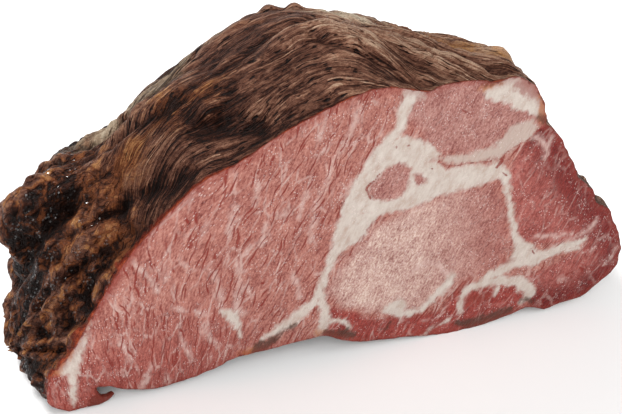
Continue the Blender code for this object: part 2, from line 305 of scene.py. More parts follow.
@dataclass
class Loaf:
    """The body of the collar: its size, its two outlines and the relief of its skin."""

    depth: float = 96.0
    swell_depth: float = 34.0
    back_centre: tuple[float, float] = (-4.0, 28.0)
    plan_low: float = 0.78
    plan_high: float = 1.05
    change_from: float = 30.0
    change_over: float = 45.0
    height_crown: float = 1.0
    height_shoulder: float = 1.8
    height_below: float = 0.36
    waist: float = 16.0
    cut_runs: tuple[Stops, ...] = (
        (
            (-79.5, 0.8), (-84, 4), (-85, 8), (-83, 15), (-77, 22), (-71, 32), (-66, 40.5), (-60.5, 49),
            (-54, 56.5), (-46, 64), (-39, 70), (-29, 74), (-19.5, 79.5), (-9.5, 84), (0, 87.5), (7, 89.3),
        ),
        ((7, 89.3), (13, 88.7), (22, 85.7), (26, 86.8), (35, 86.6), (41, 85), (47, 85.5), (51, 83.3)),
        (
            (51, 83.3), (54.7, 78.5), (56.8, 72), (57.2, 68.5), (60.5, 65), (63, 60.5), (66, 54.5),
            (69.5, 47), (73.7, 42.5), (75, 38), (79, 35), (81.5, 29.5), (84, 23.5), (85, 18),
        ),
        (
            (85, 18), (84.5, 13), (82, 9.7), (78, 6.5), (74, 3.4), (67, 2.6), (62.5, 1.4), (57, 3.6),
            (51, 2.2), (41, 0.4), (30, 0.2), (20, 1.8), (8, 3.4), (1, 5.2), (-6, 8.9), (-14, 8.6), (-27, 8),
            (-33, 7.4), (-37, 5.6), (-45, 3.6), (-55, 2.6), (-63, 4.5), (-69, 7.4), (-71.8, 6.8), (-72, 3.6),
            (-74.5, 1.3), (-79.5, 0.8),
        ),
    )
    loaf_runs: tuple[Stops, ...] = (
        (
            (-84, -4), (-94, 4), (-93, 18), (-92, 32), (-93.5, 47.5), (-85, 55.5), (-66, 61), (-49, 73),
            (-33, 83), (-16, 91), (0, 95), (10, 93),
        ),
        ((10, 93), (25, 88), (36, 85), (46, 81), (54, 79.5)),
        ((54, 79.5), (58.5, 66), (67, 52), (74, 39), (80, 26), (80, 13)),
        ((80, 13), (76, 1), (62, -5), (30, -6), (-50, -6), (-84, -4)),
    )
    run_columns: tuple[int, ...] = (180, 64, 84, 110)
    rim_frays: tuple[float, ...] = (0.12, 0.12, 0.55, 0.45)  # how ragged each run of the rim is
    fray_size: float = 2.4
    rows: int = 168
    lumps: tuple[float, float] = (24.0, 2.2)
    folds: tuple[float, float, float] = (34.0, 9.5, 1.9)
    fold_level: float = 0.45
    fold_shift: tuple[float, float, float] = (7.0, 3.0, 1.0)
    ripples: tuple[float, float, float] = (15.0, 6.0, 0.9)
    ripple_shift: tuple[float, float, float] = (2.0, 9.0, 4.0)
    rim_calm: float = 7.0
    flank_calm: float = 16.0
    flank_from: float = 53.0
    flank_over: float = 8.0
    fine_calm: float = 2.0
    floor_calm: float = 6.0
    creases: tuple[tuple[Stops, float, float], ...] = (
        (((-92, 38, 18), (-89, 25, 33), (-83, 23, 44), (-72, 23, 54)), 4, 7),
        (((-70, 0, 32), (-73, 9, 37), (-75, 16, 42)), 2.6, 2.2),
        (((-57, 0, 52), (-59, 8, 55), (-57, 19, 61)), 2.4, 2),
        (((-48, 26, 69), (-43, 28, 74), (-38, 30, 78)), 2.4, 2),
        (((-38, 21, 75), (-30, 14, 77), (-22, 9, 80)), 4, 2.2),
        (((25, 2, 86), (12, 16, 91), (0, 28, 93)), 2.8, 1.8),
        (((46, 3, 85), (42, 10, 85), (34, 22, 86)), 3.6, 2.8),
        (((-62, 44, 53), (-48, 48, 62), (-30, 54, 71)), 3.4, 2),
        (((-80, 56, 38), (-68, 68, 40), (-56, 73, 45)), 13, 7), (((34, 60, 70), (46, 52, 68)), 9, 3),
    )
    crags: Spots = (
        ((-2, 66, 79), 3, 2.8), ((4, 60, 82), 3, 2.6), ((-88, 10, 9), 9, 2.6),
    )
    ridge_middle: float = 0.42  # what is taken off folded noise, so that it is 0 on average
    vigour: tuple[float, float, float] = (16.0, 0.75, 0.7)  # size, middle and swing of the strands' strength
    strands: tuple[float, float, float] = (13.0, 3.2, 0.8)
    tufts: tuple[float, float, float] = (8.0, 2.2, 0.35)
    wrinkles: tuple[float, float, float] = (13.0, 5.0, 1.5)
    wrinkle_share: float = 0.3  # how strong they are away from the left end
    left_lean: float = LEFT_LEAN
    blisters: tuple[float, float] = (6.0, 1.0)
    blister_end: tuple[float, float] = (-44.0, -68.0)
    right_end: tuple[float, float] = (58.0, 72.0)  # over which the wrinkles grow to full strength
    grain: Grain = field(default_factory=Grain)

    def __post_init__(self) -> None:
        """Work out the two outlines, column by column."""
        self.cut_outline = self.frayed(self.outline(self.cut_runs))
        self.loaf_outline = self.outline(self.loaf_runs)
        self.columns = len(self.cut_outline)
        self.crease_lines = [([Vector(stop) for stop in stops], *sizes) for stops, *sizes in self.creases]

    def outline(self, runs: tuple[Stops, ...]) -> list[Vector]:
        """Columns of points round a closed outline.

        Args:
            runs: The outline's four runs.

        Returns:
            The points, clockwise from the left toe.
        """
        points: list[Vector] = []
        for run, columns in zip(runs, self.run_columns):
            points += [spline_point(run, column / columns) for column in range(columns)]
        return points

    def frayed(self, points: list[Vector]) -> list[Vector]:
        """Make the rim a little ragged.

        Args:
            points: The rim, column by column.

        Returns:
            The moved points.
        """
        reaches = [reach for reach, columns in zip(self.rim_frays, self.run_columns) for _ in range(columns)]
        moved = []
        for point, reach in zip(points, reaches):
            sway = noise.noise_vector(Vector((point.x, point.y, 4.0)) / self.fray_size)
            moved.append(Vector((point.x + sway.x * reach, max(0.0, point.y + sway.y * reach))))
        return moved

    def skin_point(self, column: int, share: float) -> Vector:
        """Where a column of skin is before any relief.

        Args:
            column: Which column.
            share: How far from the cut, 0, to the back, 1.

        Returns:
            The point.
        """
        turn = share * math.pi / 2
        depth = self.depth * math.sin(turn)
        x, z = self.cut_outline[column].lerp(self.loaf_outline[column], smooth_step(depth / self.swell_depth))
        left = max(0.0, math.cos(turn))
        back_x, back_z = self.back_centre
        high = smooth_step((z - self.change_from) / self.change_over)
        plan_closing = left ** (self.plan_low * (1 - high) + self.plan_high * high)
        above = smooth_step((z - back_z) / (2 * self.waist) + 0.5)
        slope = self.height_shoulder * (1 - high) + self.height_crown * high
        height_closing = left ** (self.height_below * (1 - above) + slope * above)
        return Vector((back_x + (x - back_x) * plan_closing, depth, back_z + (z - back_z) * height_closing))

    def crease_depth(self, point: Vector) -> float:
        """How deep the creases are at a point.

        Args:
            point: A point on the skin.

        Returns:
            The depth.
        """
        deepest = 0.0
        for stops, half_width, depth in self.crease_lines:
            near = min(segment_distance(point, a, b) for a, b in zip(stops, stops[1:]))
            deepest = max(deepest, depth * math.exp(-((near / half_width) ** 2)))
        return deepest

    def relief(self, point: Vector, place: Vector, fine_place: Vector) -> tuple[float, float]:
        """How far the skin stands out at a point.

        Args:
            point: A point on the smooth skin.
            place: The same point in grain coordinates.
            fine_place: The same point in the coordinates of the strands.

        Returns:
            The whole relief, and the part of it whose valleys darken the skin's colour as painted shade.
        """
        lumps = self.lumps[1] * noise.noise(point / self.lumps[0])
        fold = noise.noise(along_grain(place, *self.folds[:2]) + Vector(self.fold_shift))
        folds = self.folds[2] * (2.0 * abs(fold) - self.fold_level)
        ripple = noise.noise(along_grain(place, *self.ripples[:2]) + Vector(self.ripple_shift))
        ripples = self.ripples[2] * ripple
        crags = 0.0
        for top, radius, height in self.crags:
            crags += height * math.exp(-(((point - Vector(top)).length / radius) ** 2))
        creases = self.crease_depth(point)
        floor = smooth_step(point.z / self.floor_calm)
        flank = self.flank_calm * smooth_step((point.x - self.flank_from) / self.flank_over)
        calm = smooth_step(point.y / (self.rim_calm + flank)) * floor
        fine = self.fine_relief(point, fine_place) * floor
        fine *= smooth_step(point.y / (self.fine_calm + flank * 0.6))
        coarse = calm * (lumps + folds + ripples - creases + crags)
        return coarse + fine, calm * (folds + ripples - creases * 0.6) + fine

    def fine_relief(self, point: Vector, place: Vector) -> float:
        """The strands and tufts of the skin, and the wrinkles and blisters of its left end.

        Args:
            point: A point on the smooth skin.
            place: The same point in grain coordinates.

        Returns:
            The height.
        """
        blistered = smooth_step((point.x - self.blister_end[0]) / (self.blister_end[1] - self.blister_end[0]))
        size, middle, swing = self.vigour
        vigour = middle + swing * noise.noise(point / size)
        strand = noise.noise(along_grain(place, *self.strands[:2]))
        tuft = noise.noise(along_grain(place, *self.tufts[:2]) + Vector((3.0, 5.0, 8.0)))
        strands = self.strands[2] * (2.0 * abs(strand) - self.ridge_middle)
        strands += self.tufts[2] * (2.0 * abs(tuft) - self.ridge_middle)
        wide = self.blisters[0]
        blister = abs(noise.noise(point / wide)) + 0.5 * abs(noise.noise(point * 2.1 / wide))
        risen = Matrix.Rotation(self.left_lean, 3, "Y") @ point
        wrinkle = noise.noise(along_grain(risen, *self.wrinkles[:2]) + Vector((9.0, 2.0, 6.0)))
        wrinkles = self.wrinkles[2] * (2.0 * abs(wrinkle) - self.ridge_middle)
        blisters = self.blisters[1] * (1.6 * blister - 0.5)
        ended = smooth_step((point.x - self.right_end[0]) / (self.right_end[1] - self.right_end[0]))
        wrinkles *= self.wrinkle_share + (1.0 - self.wrinkle_share) * max(blistered, ended)
        return max(0.1, vigour) * strands * (1.0 - 0.85 * blistered) + wrinkles + blistered * blisters

    def wrap_skin(self, bm: bmesh.types.BMesh) -> None:
        """Wrap a grid, its columns round the outline and its rows from the cut to the back, into the skin.

        Args:
            bm: What the skin goes into.
        """
        relief_layer = bm.verts.layers.float.new("relief")
        grain_layer = bm.verts.layers.float_vector.new("grain")
        half = 0.5
        sheet = bmesh.ops.create_grid(bm, x_segments=self.columns, y_segments=self.rows, size=half)["verts"]
        for vert in sheet:
            column = round((vert.co.x + half) * self.columns) % self.columns
            vert.co = self.skin_point(column, vert.co.y + half)
        bmesh.ops.remove_doubles(bm, verts=bm.verts, dist=0.001)
        bmesh.ops.recalc_face_normals(bm, faces=bm.faces)
        bm.normal_update()
        raised = []
        for vert in bm.verts:
            fine_place = self.grain.place(vert.co, end_turns=True)
            height, valley = self.relief(vert.co, self.grain.place(vert.co), fine_place)
            vert[relief_layer] = valley
            vert[grain_layer] = fine_place
            raised.append(vert.co + vert.normal * height)
        for vert, point in zip(bm.verts, raised):
            if point.y < self.swell_depth:
                point.y = max(point.y, 0.0)
            vert.co = (point.x, point.y, max(point.z, 0.0))


@dataclass
class CutFace:
    """The face that the knife left: its muscles, and the fat, films, cracks and stains on them."""

    spacing: float = 1.0
    refine_within: float = 1.3
    crowning: float = 0.9
    crowning_width: float = 9.0
    uneven: tuple[float, float] = (15.0, 0.55)
    leans: tuple[float, float] = (math.radians(-9.0), math.radians(24.0))  # of the fibres, right of upright
    lean_from_to: tuple[float, float] = (-76.0, -20.0)
    lean_height: float = 28.0
    bends: tuple[tuple[float, float], ...] = ((8.0, 0.9), (2.4, 0.5))  # size and reach of the waviness
    seams: tuple[Stops, ...] = (
        (
            (18, 86, 2.6), (15, 81.5, 1.6), (14, 76.5, 1.6), (11, 72, 1.8), (7, 66.5, 1.8), (3.5, 60, 1.8),
            (0, 53, 1.8),
        ),
        ((17, 85, 1), (21.5, 84.5, 0.6)),
        (
            (43, 58.5, 1.6), (45.5, 55, 1.3), (46.5, 50.5, 0.8), (47.5, 46.5, 0.55), (48.5, 42, 0.5),
            (49.5, 36.5, 0.6), (51, 30.5, 1.2),
        ),
        ((54.5, 23.5, 2), (51, 22, 1.6), (47.5, 20.5, 1.5), (43.5, 19, 1.5), (41, 18, 0.9)),
        ((58, 23, 1.7), (61.5, 24, 1.4), (65, 24.5, 1.6), (68.5, 25, 1.3), (72.5, 25.5, 0.7)),
        ((67, 23.5, 0.6), (70.5, 23, 0.4)),
        (
            (35, 8, 0.5), (35, 14, 0.8), (37.5, 16.5, 1.2), (41.5, 17, 1.4), (47.5, 17, 1.4), (52.5, 15, 1.7),
            (56, 11, 1.6), (57, 8, 1.4), (55, 6.5, 0.9),
        ),
        ((45.5, 11.5, 0.5), (46.5, 14, 0.8)),
        ((18, 11.5, 1), (23.5, 12.5, 0.8), (26, 15, 0.9), (28.5, 18, 1.1), (31, 20, 1.1), (32.5, 22.5, 0.6)),
        ((-5, 34, 0.8), (-7.5, 27, 0.9), (-9.5, 23, 1.5), (-14.5, 18, 1.8), (-20, 15, 1.4), (-24, 13.5, 0.5)),
        ((-7.5, 27, 0.8), (-7, 21.5, 1), (-5.5, 17, 1.2), (-6, 12.5, 1), (-7.5, 10, 0.9)),
        ((-5.5, 14, 0.7), (-2.5, 15, 0.6), (0, 13.5, 0.7), (1.5, 10.5, 0.5)),
        ((24, 1, 0.5), (26.5, 4, 0.4), (32, 6.5, 0.3)),
    )
    fat_patches: tuple[Stops, ...] = (
        (
            (11, 72), (14.5, 73.5), (21.5, 71), (24.5, 68), (26, 65.5), (23.5, 64), (28.5, 60.5), (44, 59),
            (45, 55), (40.5, 53), (33.5, 52.5), (26, 51.5), (17, 49.5), (9, 49.5), (0, 52.5), (3.5, 60),
        ),
        (
            (37.5, 84), (41, 85.5), (45.5, 86), (49, 84.5), (52, 82), (55.5, 78), (56.5, 73), (55, 71.5),
            (54, 71.5), (51, 74), (48, 75), (45.5, 77.5), (43, 79), (38.5, 81),
        ),
        ((51, 30.5), (50, 26.5), (48.5, 22.5), (52, 21.5), (56.5, 20), (59.5, 22), (56.5, 27.5), (53, 29.5)),
        ((11, 14.5), (13.5, 17), (16, 17.5), (18, 16), (17.5, 13.5), (18, 11), (16.5, 10), (14.5, 11.5)),
        (
            (0, 53), (-3, 48.5), (-3.5, 42), (-5.5, 36.5), (-5.5, 33.5), (-4, 34.5), (-2.5, 37.5),
            (0.5, 39.5), (5, 44), (7.5, 47), (9.5, 50),
        ),
        (
            (-71, 32.5), (-73, 23), (-75, 18.5), (-76.5, 13), (-78, 2), (-79, 6), (-78.5, 10.5),
            (-78.5, 14.5), (-81, 16), (-81, 17), (-78.5, 20), (-74.5, 25),
        ),
        ((-35.5, 26.5), (-31, 25.5), (-30.5, 16.5), (-30, 15)),
    )
    islands: tuple[Stops, ...] = (
        (
            (6, 57), (6, 59.5), (8.5, 62), (11, 64.5), (14.5, 65.5), (17, 64.5), (18.5, 62), (18, 58.5),
            (17, 55.5), (14.5, 53), (10, 53.5), (6.5, 55.5),
        ),
        ((19, 60.5), (21.5, 60.5), (22.5, 58.5), (22.5, 56), (20.5, 55.5), (19.5, 57)),
    )
    films: tuple[Stops, ...] = (
        (
            (25, 64.5), (30, 64), (35, 64), (41, 64), (44, 66), (46, 69.5), (48.5, 71), (53.5, 70.5),
            (54.5, 68), (53, 65.5), (49, 64), (45, 62), (40.5, 61), (35.5, 61), (28, 62.5),
        ),
    )
    streaks: tuple[Stops, ...] = (
        ((53, 65.5, 0.6), (55.5, 64, 0.7), (57, 60, 0.9), (57.5, 57.5, 0.5)),
        ((59, 64.5, 0.4), (57.5, 61.5, 0.7)), ((56.5, 30.5, 0.4), (61.5, 30, 0.45), (67.5, 29.5, 0.3)),
        ((61.5, 25.5, 0.5), (69, 27.5, 0.5), (74, 29.5, 0.6), (76, 31.5, 0.3)),
        ((19.5, 26.5, 0.4), (21.5, 28.5, 0.5), (25, 28.5, 0.6), (28.5, 26.5, 0.5), (31, 21.5, 0.4)),
        ((80.5, 14.5, 0.3), (82.5, 17, 0.5), (83.5, 20, 0.3)),
        ((-65, 25, 0.3), (-63.5, 21.5, 0.7), (-62, 18, 0.5), (-62, 13.5, 0.3)),
        ((-55.5, 12.5, 0.3), (-57, 7.5, 0.7), (-59, 3.5, 1.1)),
        ((-47, 22, 0.3), (-46.5, 17.5, 0.6), (-44, 11, 0.4)), ((-52, 6, 0.4), (-51.5, 3.5, 0.9)),
        ((-49, 31, 0.4), (-45, 28.5, 0.5)), ((-43, 28.5, 0.4), (-40, 26, 0.6)),
        ((-40.5, 23, 0.3), (-39, 17, 0.5), (-36.5, 13.5, 0.3)), ((-31, 61, 0.4), (-32.5, 52.5, 0.7)),
        ((-37.5, 40.5, 0.3), (-35.5, 32, 0.5), (-35, 26.5, 0.5)),
        ((-30.5, 43, 0.3), (-30.5, 34, 0.5), (-30.5, 25.5, 0.7)),
        ((-15, 34.5, 0.3), (-13.5, 29, 0.5), (-13.5, 25.5, 0.4)),
        ((-58, 49.5, 0.4), (-56, 44, 0.6), (-52, 38.5, 0.4)), ((-22.5, 53, 0.4), (-24, 46.5, 0.6)),
        ((-24.5, 66.5, 0.4), (-26, 60, 0.5)), ((-5, 85, 0.3), (-8, 77, 0.5)),
        ((3.5, 86, 0.3), (-1.5, 73, 0.45), (-6.5, 60.5, 0.45), (-8.5, 55, 0.4), (-9.5, 44, 0.3)),
        ((-11.5, 61.5, 0.3), (-13, 53.5, 0.4)), ((75, 20, 0.3), (76.5, 21.5, 0.4)),
        ((66, 13, 0.4), (68, 12, 0.3)),
    )
    cracks: tuple[Stops, ...] = (
        ((-61.5, 38.5, 0.2), (-61.5, 28, 0.35)), ((-57.5, 34.5, 0.2), (-60, 28, 0.35)),
        ((-56.5, 36.5, 0.2), (-56, 26.5, 0.35)), ((-52, 22.5, 0.3), (-51, 18.5, 0.3)),
        ((-47.5, 17.5, 0.2), (-50, 10.5, 0.5)), ((-22.5, 73, 0.3), (-24.5, 69.5, 0.2)),
        ((-35.5, 49.5, 0.2), (-36.5, 45, 0.4)), ((-29.5, 51, 0.2), (-30.5, 47, 0.3)),
        ((-13.5, 55.5, 0.2), (-18, 52.5, 0.3)), ((-19, 38, 0.2), (-19.5, 29.5, 0.35)),
        ((-46.5, 27, 0.3), (-46, 23, 0.2)), ((-40, 58, 0.2), (-43.5, 50.5, 0.4)),
        ((24.5, 1.5, 0.2), (27.5, 4.5, 0.5), (30.5, 7.5, 0.5), (31.5, 8.5, 0.2)),
        ((68, 14, 0.4), (69.5, 14.5, 0.3)), ((71.5, 15.5, 0.3), (73, 14, 0.5)), ((17, 70.5, 0.4),),
        ((24, 61, 0.4),), ((13.5, 70.5, 0.3),), ((48, 68.5, 0.35),), ((44.5, 60, 0.6), (43, 58, 0.4)),
        ((45, 56, 0.2), (46, 54.5, 0.3)),
        ((57.5, 68, 0.4), (55, 67, 0.3), (51.5, 64.5, 0.25), (46.5, 63, 0.25), (44, 61, 0.4)),
        ((27, 62, 0.15), (35, 60.5, 0.2), (41, 60.5, 0.2)),
        ((7, 55, 0.15), (5.5, 58, 0.3), (8, 62, 0.3), (11, 65, 0.15)),
        ((31, 78.5, 0.1), (34.5, 76.5, 0.2), (38, 77.5, 0.1)), ((33, 75.5, 0.1), (36.5, 77, 0.15)),
        ((56, 26.5, 0.15), (57, 24.5, 0.3)),
    )
    crusts: tuple[Stops, ...] = (
        ((-26, 8.6, 1), (-24, 10.4, 2), (-21.5, 12, 1.5)),
        ((-21.5, 12.2, 0.9), (-17.5, 14.6, 0.5), (-14.5, 16, 0.3)),
        ((-5, 10, 1.4), (0, 8.5, 2.2), (3.5, 6.5, 1.2)),
        ((35.5, 3.5, 1.2), (39, 1.5, 2.2), (45, 2.5, 2.2), (51, 4, 1.4)), ((12, 6.5, 0.7), (14, 9, 0.5)),
        ((55, 7, 0.8), (58, 5.5, 0.8)), ((38, 85.5, 0.8), (42, 86, 0.7)), ((54.5, 71, 0.7), (57, 69, 1)),
    )
    yellows: tuple[Stops, ...] = (
        ((55, 78, 1.4), (56.5, 73, 2), (56, 70, 1.4)), ((-8, 10.5, 0.6), (-6.5, 11.3, 0.6)),
        ((-29.5, 8.8, 1.1), (-27, 9.4, 1.4)), ((-82, 16.5, 1.2), (-78, 21, 1), (-73, 31, 1)),
        ((37.5, 84, 1), (42, 85.5, 0.8)),
    )
    reds: tuple[Stops, ...] = (
        ((48, 82.5, 1.8), (50.5, 81.6, 2.6), (53.2, 79.4, 2.2)),
        ((33, 17, 0.7), (36, 19, 1.1), (39.5, 21, 0.7)), ((37.5, 12, 1.6), (41, 11.8, 1.8), (44, 12, 1.2)),
        ((47.5, 23.5, 0.8), (50, 23.5, 0.7)),
        ((-71, 31, 0.6), (-66.5, 40, 1.3), (-61, 48, 1.1), (-55, 55.5, 0.5)),
    )
    pale_zone: Stops = (
        (0, 34), (8, 45), (18.5, 49), (30, 51.5), (42, 51.5), (46, 45), (48.5, 30.5), (45.5, 23), (38, 20),
        (30, 18), (23, 13), (11, 15), (0, 19), (-5, 27),
    )
    mauve_zone: Stops = (
        (20, 88), (37, 87), (43, 79), (52, 73), (54, 71), (46, 70), (42, 65), (35, 64.5), (26, 66), (20, 74),
        (16, 80),
    )
    deep_zones: tuple[Stops, ...] = (
        (
            (58, 70), (68, 55), (80, 37), (87, 18), (82, 4), (68, 0), (57.5, 2), (58, 12), (53.5, 16),
            (65.5, 20), (74.5, 24), (65, 27), (57, 28.5), (52, 30), (49.5, 43), (46.5, 54), (50, 63),
        ),
    )
    low_zone: Stops = (
        (-5, 21), (11, 11.5), (29, 10), (32, 17), (40, 16), (53, 14), (56, 8), (54, 0), (27, -2), (11, 0),
        (-5, 7),
    )

    def bent(self, points: np.ndarray) -> np.ndarray:
        """Move points a little, so that a pattern read there is wavy.

        Args:
            points: Rows of x and z.

        Returns:
            The moved rows.
        """
        moved = points.copy()
        for size, reach in self.bends:
            sway = [noise.noise_vector(Vector((x / size, z / size, size)))[:2] for x, z in points]
            moved += reach * np.array(sway)
        return moved

    def fat(self, points: np.ndarray) -> np.ndarray:
        """How far each point is inside the fat.

        Args:
            points: Rows of x and z.

        Returns:
            The signed distances.
        """
        solid = union(points, self.seams, self.fat_patches)
        return np.minimum(solid, -union(points, (), self.islands))

    def near_edges(self, points: np.ndarray) -> np.ndarray:
        """Whether each point is near an edge in the pattern, where the mesh is made finer.

        Args:
            points: Rows of x and z.

        Returns:
            One truth value a point.
        """
        points = self.bent(points)
        near = np.abs(self.fat(points)) < self.refine_within
        for strips in (self.streaks, self.cracks):
            near |= union(points, strips) > -self.refine_within * 0.6
        return near

    def relief(self, x: float, z: float, inside: float) -> float:
        """How far the cut stands out towards the knife.

        Args:
            x: Place along the cut.
            z: Height.
            inside: Distance from the rim.

        Returns:
            The height of the cut's relief.
        """
        rise = smooth_step(inside / self.crowning_width)
        return rise * (self.crowning + self.uneven[1] * noise.noise(Vector((x, z, 3.0)) / self.uneven[0]))

    def fill(self, bm: bmesh.types.BMesh, outline: list[Vector]) -> None:
        """Close the open front of the skin with a grid, finer near the edges of the fat, and a band round it.

        Args:
            bm: The skin, open at the cut.
            outline: The rim of the cut.
        """
        rim_edges = dict.fromkeys(edge for edge in bm.edges if edge.is_boundary)
        rim_stops = tuple((point.x, point.y) for point in outline)
        low = Vector((min(p.x for p in outline), min(p.y for p in outline)))
        wide, tall = Vector((max(p.x for p in outline), max(p.y for p in outline))) - low
        grid = bmesh.ops.create_grid(
            bm, x_segments=round(wide / self.spacing), y_segments=round(tall / self.spacing), size=0.5
        )["verts"]
        for vert in grid:
            vert.co = (low.x + (vert.co.x + 0.5) * wide, 0.0, low.y + (vert.co.y + 0.5) * tall)
        places = np.array([(vert.co.x, vert.co.z) for vert in grid])
        inside = patch(places, rim_stops)
        spare = [vert for vert, depth in zip(grid, inside) if depth < self.spacing * 0.6]
        bmesh.ops.delete(bm, geom=spare, context="VERTS")
        bmesh.ops.delete(bm, geom=[v for v in bm.verts if not v.link_faces], context="VERTS")
        grid = [vert for vert in grid if vert.is_valid]
        linked = dict.fromkeys(edge for vert in grid for edge in vert.link_edges)
        edges = [edge for edge in linked if not edge.is_boundary]
        middles = np.array([((e.verts[0].co + e.verts[1].co) / 2).xz for e in edges])
        finer = [edge for edge, near in zip(edges, self.near_edges(middles)) if near]
        bmesh.ops.subdivide_edges(bm, edges=finer, cuts=1, use_grid_fill=True)
        border = [edge for edge in bm.edges if edge.is_boundary and edge not in rim_edges]
        bmesh.ops.triangle_fill(
            bm, edges=list(rim_edges) + border, use_beauty=True, normal=(0.0, -1.0, 0.0)
        )
        front = [face for face in bm.faces if all(vert.co.y <= 0.0 for vert in face.verts)]
        front = bmesh.ops.triangulate(bm, faces=front)["faces"]
        inner = dict.fromkeys(edge for face in front for edge in face.edges)
        inner = [edge for edge in inner if edge not in rim_edges]
        bmesh.ops.beautify_fill(bm, faces=front, edges=inner, method="ANGLE")
        front = [face for face in bm.faces if all(vert.co.y <= 0.0 for vert in face.verts)]
        verts = list(dict.fromkeys(vert for face in front for vert in face.verts))
        depths = patch(np.array([vert.co.xz for vert in verts]), rim_stops)
        for face in front:
            face.material_index = 1
        for vert, depth in zip(verts, depths):
            vert.co.y = -self.relief(vert.co.x, vert.co.z, max(0.0, depth))

    def dress(self, places: np.ndarray, outline: list[Vector]) -> dict[str, np.ndarray]:
        """The pattern of the cut as values for each point of the mesh.

        Args:
            places: Rows of x, y and z, in millimetres.
            outline: The rim of the cut.

        Returns:
            Numbers and vectors by name.
        """
        flat = places[:, (0, 2)]
        points = self.bent(flat)
        pale = ease(patch(points, self.pale_zone), -2.5, 2.5) * ease(points[:, 0], 52.0, 12.0)
        mauve = ease(patch(points, self.mauve_zone), -1.0, 1.5)
        deep = ease(union(points, (), self.deep_zones), -0.6, 0.8)
        low = ease(patch(points, self.low_zone), -1.0, 1.5)
        toe = 0.65 * ease(points[:, 1], 40.0, 8.0) * ease(points[:, 0], -16.0, -44.0)
        calm = ease(patch(points, self.pale_zone), -1.5, 1.5)
        island = ease(union(points, (), self.islands), -0.5, 0.5)
        return {
            "fat": self.fat(points),
            "film": union(points, (), self.films),
            "streak": union(points, self.streaks),
            "crack": union(points, self.cracks),
            "rim": patch(flat, tuple((point.x, point.y) for point in outline)),
            "zone": np.stack([pale, np.maximum(mauve, island), deep], axis=1),
            "calm": np.maximum.reduce([calm, mauve, island, deep * 0.5]),
            "low": np.maximum(low, toe),
            "stain": np.stack([union(points, s) for s in (self.crusts, self.yellows, self.reds)], axis=1),
        }


@dataclass
class Shred:
    """The loose shred that hangs in the notch under the left toe."""

    outline: Stops = (
        (-78, 2.4), (-74, 1), (-70.8, 1), (-68.2, 2), (-66.3, 4), (-68.3, 3.2), (-70, 3.4), (-70.9, 5.2),
        (-71.4, 7.2), (-76, 9),
    )
    front: float = -0.2
    thickness: float = 1.8
    back_scale: float = 0.86
    rounding: float = 0.3

    def build(self, bm: bmesh.types.BMesh) -> None:
        """Extrude the outline back from the plane of the cut, narrow it and round its edges.

        Args:
            bm: What the shred goes into.
        """
        face = bm.faces.new([bm.verts.new((x, self.front, z)) for x, z in self.outline])
        made = bmesh.ops.extrude_face_region(bm, geom=[face])["geom"]
        back = [item for item in made if isinstance(item, bmesh.types.BMVert)]
        centre = sum((vert.co for vert in back), Vector()) / len(back)
        for vert in back:
            vert.co = centre + (vert.co - centre) * self.back_scale
            vert.co.y += self.thickness
        bmesh.ops.bevel(
            bm, geom=list(bm.edges), offset=self.rounding, segments=2, profile=0.5, affect="EDGES",
            material=-1, clamp_overlap=True,
        )
        bmesh.ops.triangulate(bm, faces=bm.faces)
        bmesh.ops.recalc_face_normals(bm, faces=bm.faces)
        for face in bm.faces:
            face.material_index = 1


class Measure(Enum):
    """What a distance in a pattern of cells is taken to."""

    MIDDLE = "F1"
    EDGE = "DISTANCE_TO_EDGE"


class Blend(Enum):
    """How two colours are put together."""

    MIX = "MIX"
    MULTIPLY = "MULTIPLY"


